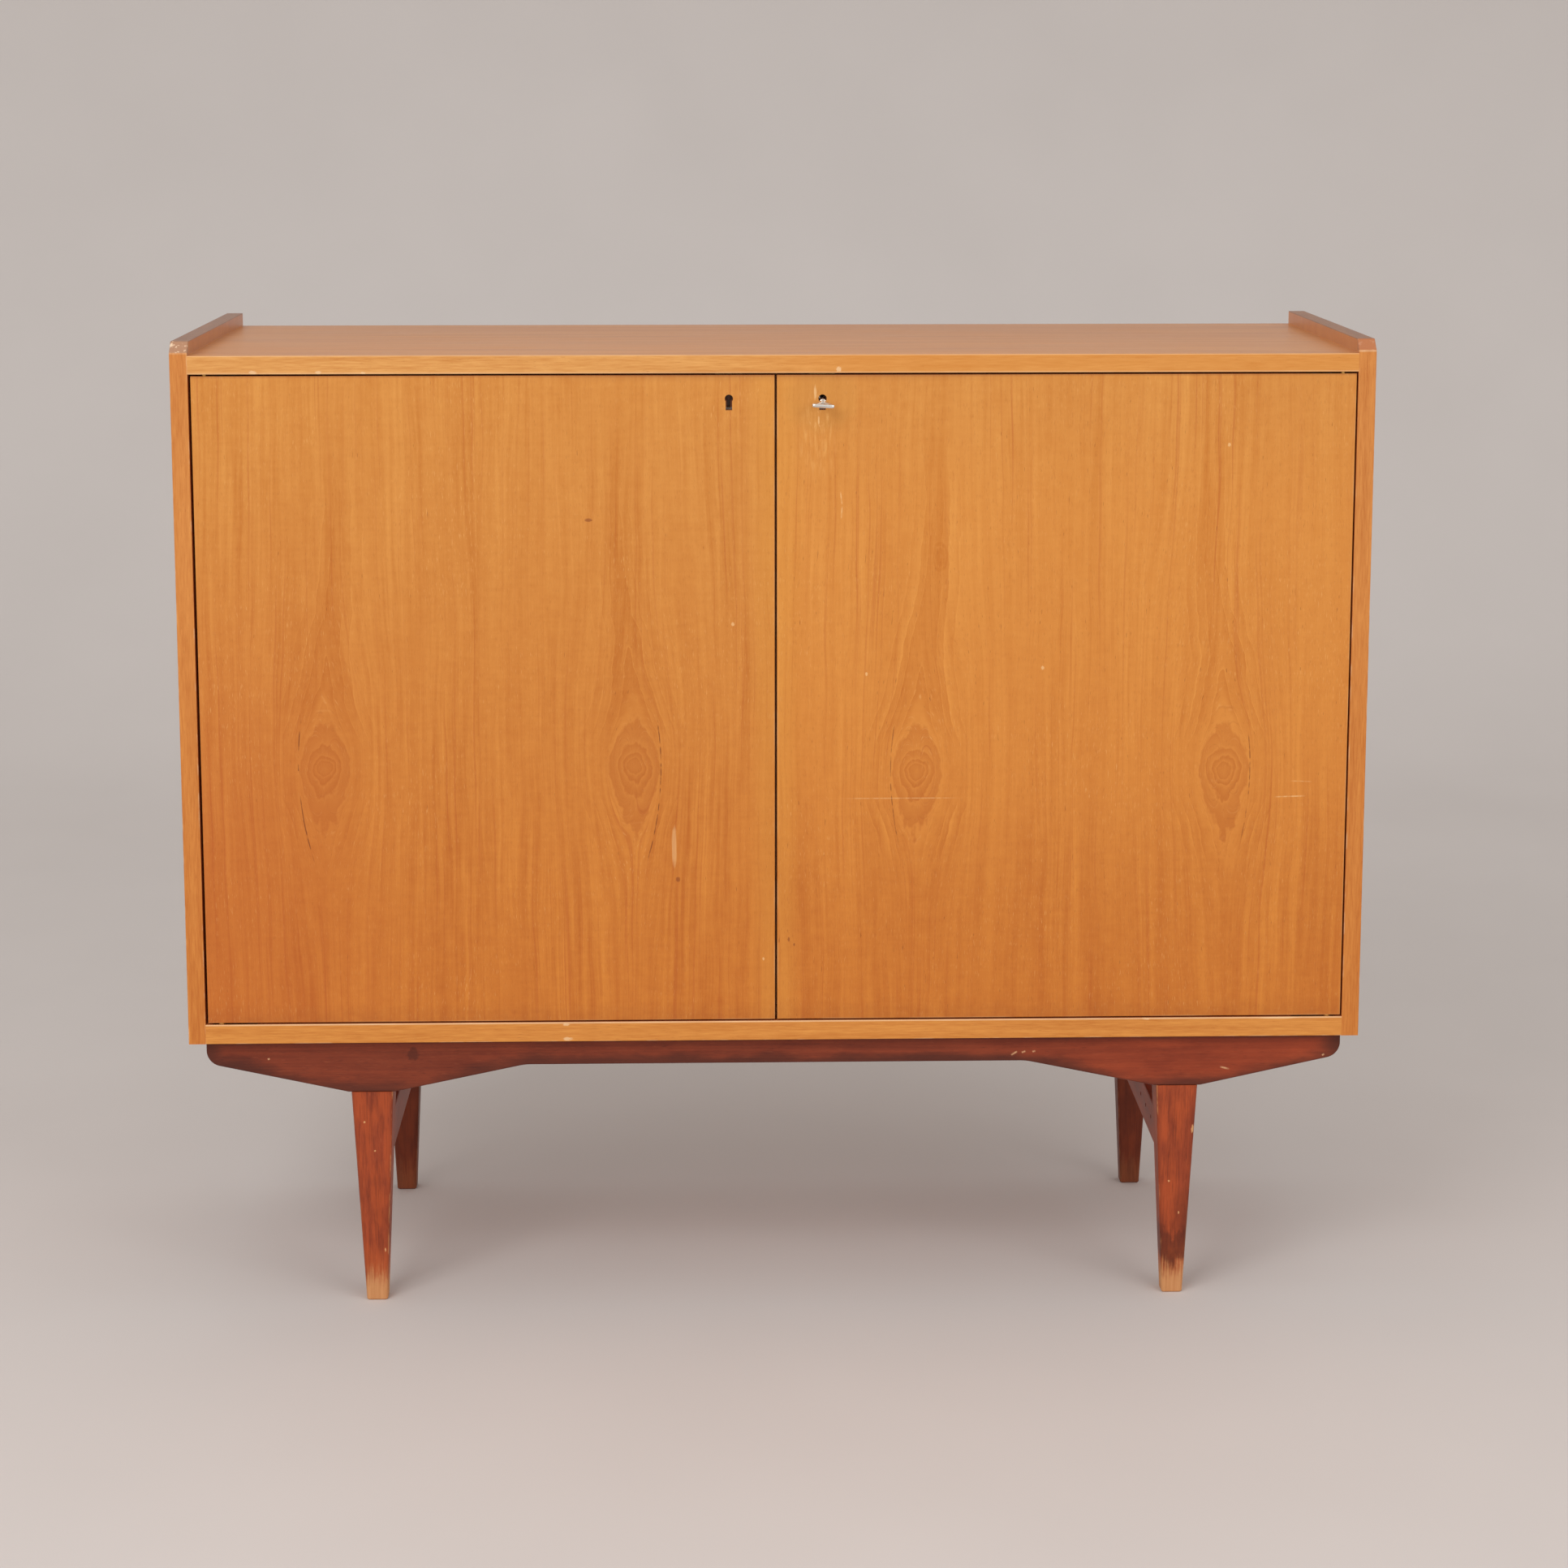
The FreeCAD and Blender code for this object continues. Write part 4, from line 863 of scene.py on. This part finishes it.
patchy = leg_beech.ease(leg_beech.noise(x / 6, z / 30, y / 6, 3.0), 0.48, 0.62)
inner_side = 1 - leg_beech.ease(from_middle, -1, 1)
pale_edges = arris * patchy * (0.3 + inner_side * 0.7) * (1 - at_back * 0.6)
ragged = leg_beech.noise(x / 5, z / 11, y / 5, 3.0)
streaky = leg_beech.noise(x / 1.6, z / 60, y / 1.6, 3.0)
bare = 1 - leg_beech.ease(z + (ragged - 0.5) * 20 + (streaky - 0.5) * 46, 12, 44)
bare = bare * (1 - at_back * 0.9)
wavy = leg_beech.noise(x / 13, 2.0, y / 13, 2.0)
damp = between(leg_beech, z + (ragged - 0.5) * 26 + (wavy - 0.5) * 40, 44, 70, 12) * (0.55 + ragged * 0.7)
damp = damp + between(leg_beech, z, 84, 112, 20) * leg_beech.ease(x, 446, 462) * wavy
damp = damp * leg_beech.ease(x, -1, 1) * (1 - at_back)
print("legs: half width", foot_half, "at the floor,", top_half, "at the apron")

# %% [markdown]
# The masks then go on in the order in which the leg got them: stain, fading, damp, rubbing, dents. The back
# legs were spared the light and the mop, so they fade less, and painted shade of the case makes them
# darker.

# %% Colour of the legs
warm = leg_beech.ease(leg_beech.noise(x / 14, z / 50, y / 14, 3.0), 0.36, 0.62)
colour = leg_beech.blend(0.12 + warm * 0.44, colour, tint(190, 86, 42))
shaded = leg_beech.ease(abs(from_middle) - half, -6, -0.5) * (0.4 + streaky * 0.6)
dark_streaks = leg_beech.ease(streaky, 0.5, 0.64) * 0.8
colour = leg_beech.blend(leg_beech.larger(shaded, dark_streaks) * 0.4, colour, tint(88, 34, 22))
faded = (1 - leg_beech.ease(z, 34, 74)) * (1 - at_back)
colour = leg_beech.blend(faded * 0.35, colour, tint(190, 98, 50))
colour = leg_beech.blend(damp * 0.66, colour, tint(72, 32, 23))
# Painted shade under the case: the back legs are made darker.
colour = leg_beech.blend(at_back * 0.6, colour, tint(74, 32, 19))
colour = leg_beech.blend(pale_edges * 0.55, colour, tint(222, 160, 106))
bare_wood = leg_beech.blend(lines, tint(190, 124, 72), tint(228, 174, 120))
colour = leg_beech.blend(bare * 0.85, colour, bare_wood)
dent_marks = [((470, 196), (2.4, 6)), ((-460, 212), (1.4, 1.6)), ((-449, 178), (1.2, 1.2))]
dent_marks += [((444, 134), (1.4, 1.4)), ((456, 96), (1, 2)), ((-440, 60), (1, 3))]
front_face = leg_beech.ease(past_face, -1.6, -0.6) * (1 - leg_beech.ease(y, front_mid - 4, front_mid))
dents = spots(leg_beech, x, z, dent_marks, 1.2) * front_face
colour = leg_beech.blend(dents * 0.75, colour, bare_beech)
leg_beech.shade(Base_Color=colour, Roughness=0.36 + lines * 0.14 + bare * 0.2, Specular_IOR_Level=0.25)
leg_beech.relief(lines * 0.4 - pores * 0.5 - pale_edges * 0.3, 0.07)
print("leg nodes:", len(leg_beech.tree.nodes))

# %% [markdown]
# The stretchers only need the plain stain. The dowels that join the frame are raw fluted beech, hidden in
# their holes, and get a finish of their own all the same.

# %% Stretchers and raw dowels
stretcher_beech, (x, y, z), colour, (blotch, lines, pores) = stained_beech("stretcher_beech", "y")
stretcher_beech.shade(Base_Color=colour, Roughness=0.34 + lines * 0.14, Specular_IOR_Level=0.25)
stretcher_beech.relief(lines * 0.4 - pores * 0.5, 0.07)
dowel_beech = Finish("dowel_beech")
x, y, z = dowel_beech.place()
flutes = dowel_beech.noise(x / 1.2, y / 6, z / 1.2, 2.0)
colour = dowel_beech.blend(flutes, tint(196, 152, 104), tint(226, 186, 138))
dowel_beech.shade(Base_Color=colour, Roughness=0.7)
dowel_beech.relief(flutes, 0.1)
print("stretcher nodes:", len(stretcher_beech.tree.nodes))

# %% [markdown]
# ## Back panel
# The back is thin plywood with a rotary-cut face: the knife peels the log, so the grain runs in long wide
# waves. It stays raw or only sealed, and years against a wall have browned it unevenly.

# %% Plywood back
back_plywood = Finish("back_plywood")
x, y, z = back_plywood.place()
swirl = back_plywood.noise(x / 90, z / 420, 1.0, 3.0) * 60
wave = back_plywood.noise((x + swirl) / 16, z / 380, 3.0, 2.0)
hair = back_plywood.noise(x / 1.3, z / 60, 5.0, 2.0)
age = back_plywood.noise(x / 260, z / 260, 9.0, 3.0)
grain = 0.5 + (wave - 0.5) * 1.1 + (hair - 0.5) * 0.5
colour = back_plywood.blend(grain, tint(150, 104, 66), tint(196, 150, 104))
colour = back_plywood.blend(back_plywood.ease(age, 0.4, 0.8) * 0.3, colour, tint(134, 92, 58))
back_plywood.shade(Base_Color=colour, Roughness=0.62 + hair * 0.15)
back_plywood.relief(hair, 0.05)
print("plywood nodes:", len(back_plywood.tree.nodes))


# %% [markdown]
# ## Metals
# The fittings are pressed brass, the screws and lock cases are plain steel, and the key is nickel-plated. A
# metal takes nearly all of its look from what it mirrors, so the finish varies the roughness: fine brushing
# lines on sheet metal and a duller film where it has tarnished. Behind a keyhole the metal is made dark
# brown and dull, so there it is hardly a metal any more.


# %% Brass, steel and nickel
def sheet_metal(name, bright, dull, smooth, tarnish, dark_depth=None):
    """Brushed metal with a film of tarnish; dark brown and dull behind the keyholes, back to a given depth.
    """
    finish = Finish(name)
    x, y, z = finish.place()
    brushing = finish.noise(x / 9, y / 0.35, z / 0.35, 2.0)
    film = finish.ease(finish.noise(x / 16, y / 16, z / 16, 3.0), 0.3, 0.8)
    colour = finish.blend(film * tarnish + brushing * 0.15, bright, dull)
    bare_metal = 1.0
    # Behind the keyholes the metal is made dark brown and dull.
    if dark_depth is not None:
        wide = (abs(x) - keyhole_x) / keyhole_dark_half_wide
        tall = (z - keyhole_z) / keyhole_dark_half_tall
        keyhole_dark = 1 - finish.ease(wide * wide + tall * tall, 0.7, 1.0)
        keyhole_dark = keyhole_dark * (1 - finish.ease(y, dark_depth, dark_depth + 0.2))
        colour = finish.blend(keyhole_dark, colour, tint(118, 66, 32))
        bare_metal = 1 - keyhole_dark * 0.95
    finish.shade(Base_Color=colour, Metallic=bare_metal, Roughness=smooth + film * 0.2 + brushing * 0.08)
    finish.relief(brushing, 0.01)
    return finish


keyhole_x, keyhole_z, keyhole_dark_half_wide, keyhole_dark_half_tall = 50.5, 1022.0, 9, 8.4
plate_dark_depth = box_mm("left_lock_plate")[0].y + 0.3
case_dark_depth = box_mm("left_lock_case")[1].y
brass = sheet_metal("brass", tint(220, 182, 108), tint(172, 134, 76), 0.26, 0.5, plate_dark_depth)
screw_steel = sheet_metal("screw_steel", tint(188, 184, 176), tint(110, 100, 90), 0.3, 0.6)
lock_steel = sheet_metal("lock_steel", tint(150, 146, 140), tint(110, 102, 94), 0.36, 0.5, case_dark_depth)
key_nickel = sheet_metal("key_nickel", tint(240, 236, 230), tint(176, 162, 144), 0.13, 0.4)
print("metals:", [finish.material.name for finish in (brass, screw_steel, lock_steel, key_nickel)])

# %% [markdown]
# ## Key
# The key stands in the right door with its bow turned level. It is cast and filed: a stem, a bit that lifts
# the bolt, a turned collar and an open three-cornered bow, round all over. It is modelled lying along the y
# axis at the lock's middle, then tipped into its seat. The bow starts as a flat triangle. A vertex bevel
# cuts its corners, an inset and a deleted middle make the hole, Solidify makes a cage of square section,
# and a subdivision surface turns that cage into a round bar.


# %% Bow of the key
def finish_with(piece, kind, **settings):
    """Add a modifier to a piece, set it and apply it."""
    deselect_all()
    piece.select_set(True)
    bpy.context.view_layer.objects.active = piece
    modifier = piece.modifiers.new(kind.lower(), kind)
    for name, value in settings.items():
        setattr(modifier, name, value)
    bpy.ops.object.modifier_apply(modifier=modifier.name)


mm = 0.001
bow_front, bow_back, bow_band, bow_thick, bow_width = -42.25, -22.25, 3.6, 4.2, 24.5
cage_radius, cage_stretch, corner_cut = 12, (1.45, 1.22, 1), 6.2
deselect_all()
bpy.ops.mesh.primitive_circle_add(vertices=3, radius=cage_radius * mm, fill_type="NGON")
key_piece = bpy.context.object
key_piece.name = "nickel_key"
key_piece.scale = cage_stretch
bpy.ops.object.transform_apply(location=True, rotation=True, scale=True)
bpy.ops.object.mode_set(mode="EDIT")
bpy.ops.mesh.select_all(action="SELECT")
bpy.ops.mesh.bevel(offset=corner_cut * mm, segments=3, affect="VERTICES", profile=0.5)
bpy.ops.mesh.select_mode(type="FACE")
bpy.ops.mesh.select_all(action="SELECT")
bpy.ops.mesh.inset(thickness=bow_band * mm, depth=0)
bpy.ops.mesh.delete(type="FACE")
bpy.ops.object.mode_set(mode="OBJECT")
finish_with(key_piece, "SOLIDIFY", thickness=bow_thick * mm, offset=0)
finish_with(key_piece, "SUBSURF", levels=3, render_levels=3)
print("bow faces:", len(key_piece.data.polygons))
print("bow sides:", [round(side / mm, 2) for side in key_piece.dimensions])


# %% [markdown]
# A subdivided shape is always a little smaller than its cage, so the bow is measured and scaled to its real
# size. Then it is moved back along the key, to where the stem will meet it.


# %% Scale the bow to its size
def span(piece):
    """Lowest and highest corner of a piece's own mesh."""
    places = [vertex.co for vertex in piece.data.vertices]
    low = Vector([min(place[axis] for place in places) for axis in range(3)])
    return low, Vector([max(place[axis] for place in places) for axis in range(3)])


low, high = span(key_piece)
wanted = Vector((bow_width, bow_back - bow_front, bow_thick)) * mm
key_piece.scale = [wanted[axis] / (high - low)[axis] for axis in range(3)]
bpy.ops.object.transform_apply(location=False, rotation=False, scale=True)
key_piece.location = (0, bow_front * mm - span(key_piece)[0].y, 0)
bpy.ops.object.transform_apply(location=True, rotation=False, scale=False)
print("bow from", *[[round(value / mm, 2) for value in corner] for corner in span(key_piece)])

# %% [markdown]
# The stem is a rod with a bored end, as small cabinet keys are hollow to sit on a pin in the lock. The
# collar is a short turned ring. Both start as cylinders at their size and place: the bore is an inset and
# an extrusion inwards, and the rims get a small bevel.


# %% Stem and collar
def rod(radius, start, end, sides):
    """A cylinder along y from start to end, in millimetres, left in edit mode."""
    deselect_all()
    middle = (0, (start + end) / 2 * mm, 0)
    bpy.ops.mesh.primitive_cylinder_add(
        vertices=sides, radius=radius * mm, depth=abs(end - start) * mm,
        location=middle, rotation=(math.pi / 2, 0, 0),
    )
    piece = bpy.context.object
    bpy.ops.object.transform_apply(location=True, rotation=True, scale=True)
    bpy.ops.object.mode_set(mode="EDIT")
    return piece


stem_radius, stem_end, stem_wall, bore_depth, stem_sides, stem_rim = 2.5, 1.7, 1.2, 8, 40, 0.25
collar_radius, collar_half, collar_sides, collar_rim = 3.7, 1.25, 48, 0.55
tiny = 1e-6
stem = rod(stem_radius, bow_back - bow_band, stem_end, stem_sides)
pick("FACE", lambda place, normal: normal.y > 0.9)
bpy.ops.mesh.inset(thickness=stem_wall * mm, depth=0)
bpy.ops.mesh.extrude_region_move(TRANSFORM_OT_translate={"value": (0, -bore_depth * mm, 0)})
at_end = (stem_end - 0.01) * mm
pick("EDGE", lambda place, run: place.y > at_end and abs(place.x * run.x + place.z * run.z) < 1e-9)
bpy.ops.mesh.bevel(offset=stem_rim * mm, segments=2, affect="EDGES")
bpy.ops.object.mode_set(mode="OBJECT")
collar = rod(collar_radius, bow_back - collar_half, bow_back + collar_half, collar_sides)
pick("EDGE", lambda place, run: abs(run.y) < tiny)
bpy.ops.mesh.bevel(offset=collar_rim * mm, segments=4, affect="EDGES")
bpy.ops.object.mode_set(mode="OBJECT")
print("stem and collar faces:", [len(piece.data.polygons) for piece in (stem, collar)])

# %% [markdown]
# The bit is a small plate with a slot for the ward. Three cuts through the plate outline the slot, its
# faces are deleted, and the open sides are filled again.

# %% Bit with its slot
bit_middle, bit_size = (-5.75, 0, 0), (7.5, 3.4, 2.4)
slot_half, slot_end = 0.45, -6.5
deselect_all()
bpy.ops.mesh.primitive_cube_add(
    size=1, location=[value * mm for value in bit_middle], scale=[value * mm for value in bit_size]
)
bit = bpy.context.object
bpy.ops.object.transform_apply(location=True, rotation=True, scale=True)
bpy.ops.object.mode_set(mode="EDIT")
for wall in (-slot_half, slot_half):
    bpy.ops.mesh.select_all(action="SELECT")
    bpy.ops.mesh.bisect(plane_co=(0, wall * mm, 0), plane_no=(0, 1, 0))
bpy.ops.mesh.select_all(action="SELECT")
bpy.ops.mesh.bisect(plane_co=(slot_end * mm, 0, 0), plane_no=(1, 0, 0))
within, beyond = (slot_half - 0.05) * mm, (slot_end - 0.1) * mm
pick("FACE", lambda place, normal: abs(place.y) < within and place.x < beyond)
bpy.ops.mesh.delete(type="FACE")
for wall in (-slot_half, slot_half):
    pick("EDGE", lambda place, run: abs(place.y - wall * mm) < tiny and place.x < (slot_end + 0.01) * mm)
    bpy.ops.mesh.edge_face_add()
beside = (slot_half + 0.01) * mm
pick("EDGE", lambda place, run: abs(place.x - slot_end * mm) < tiny and abs(place.y) < beside)
bpy.ops.mesh.edge_face_add()
bpy.ops.mesh.select_all(action="SELECT")
bpy.ops.mesh.normals_make_consistent(inside=False)
bpy.ops.object.mode_set(mode="OBJECT")
print("bit faces:", len(bit.data.polygons))

# %% [markdown]
# Fused and smoothed, the key is tipped into its seat: it hangs a little and is rolled a little. The place
# goes into the mesh, so the object itself stays at the origin like the solids. It stands for the plain key
# of the solids and turns with the same body.

# %% Fuse the key and seat it
for part in (stem, collar, bit):
    finish_with(key_piece, "BOOLEAN", operation="UNION", solver="EXACT", object=part)
    bpy.data.objects.remove(part)
key_seat, key_hang, key_roll = Vector((keyhole_x, -181.886, 1024.5)), 8.0, 3.5
tip_down = Matrix.Rotation(math.radians(key_hang), 4, "X")
roll_over = Matrix.Rotation(math.radians(key_roll), 4, "Y")
key_piece.matrix_world = Matrix.Translation(key_seat * mm) @ tip_down @ roll_over
bpy.context.view_layer.update()
bpy.ops.object.transform_apply(location=True, rotation=True, scale=True)
bpy.ops.object.shade_smooth_by_angle(angle=math.radians(35))
key_piece.data.materials.clear()
key_piece.data.materials.append(key_nickel.material)
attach(key_piece, "key")
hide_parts("key")
skin = bmesh.new()
skin.from_mesh(key_piece.data)
open_edges = sum(1 for edge in skin.edges if len(edge.link_faces) != 2)
skin.free()
low, high = [[round(value / mm, 2) for value in corner] for corner in span(key_piece)]
print("key from", low, "to", high, "mm, faces", len(key_piece.data.polygons), "open edges", open_edges)

# %% [markdown]
# ## Dress the solids
# Each solid gets the finish of its own piece: the doors the figured veneer, boards and sides the plain one,
# and so on. The fittings inside are dressed with the same care as the front, since the doors open.

# %% Assign the finishes
wear = {
    door_teak: ["left_door_panel", "right_door_panel"],
    side_teak: ["left_side_panel", "right_side_panel", "centre_partition"],
    board_teak: ["top_board", "bottom_board", "left_shelf", "right_shelf"],
    back_plywood: ["back_panel"],
    apron_beech: ["front_apron", "back_apron"],
    leg_beech: ["front_left_leg", "front_right_leg", "back_left_leg", "back_right_leg"],
    stretcher_beech: ["left_stretcher", "right_stretcher"],
    dowel_beech: ["carcass_dowels", "leg_dowels", "stretcher_dowels"],
    screw_steel: [name for name in nodes if name.endswith("screws")],
    lock_steel: [name for name in nodes if name.endswith(("lock_case", "lock_bolt"))],
    brass: [name for name in nodes if name.endswith(("pivot", "washers", "plate", "pins"))],
    key_nickel: ["key"],
}
for finish, names in wear.items():
    for name in names:
        nodes[name].data.materials.clear()
        nodes[name].data.materials.append(finish.material)
print("dressed", sum(len(names) for names in wear.values()), "of", len(nodes), "solids")
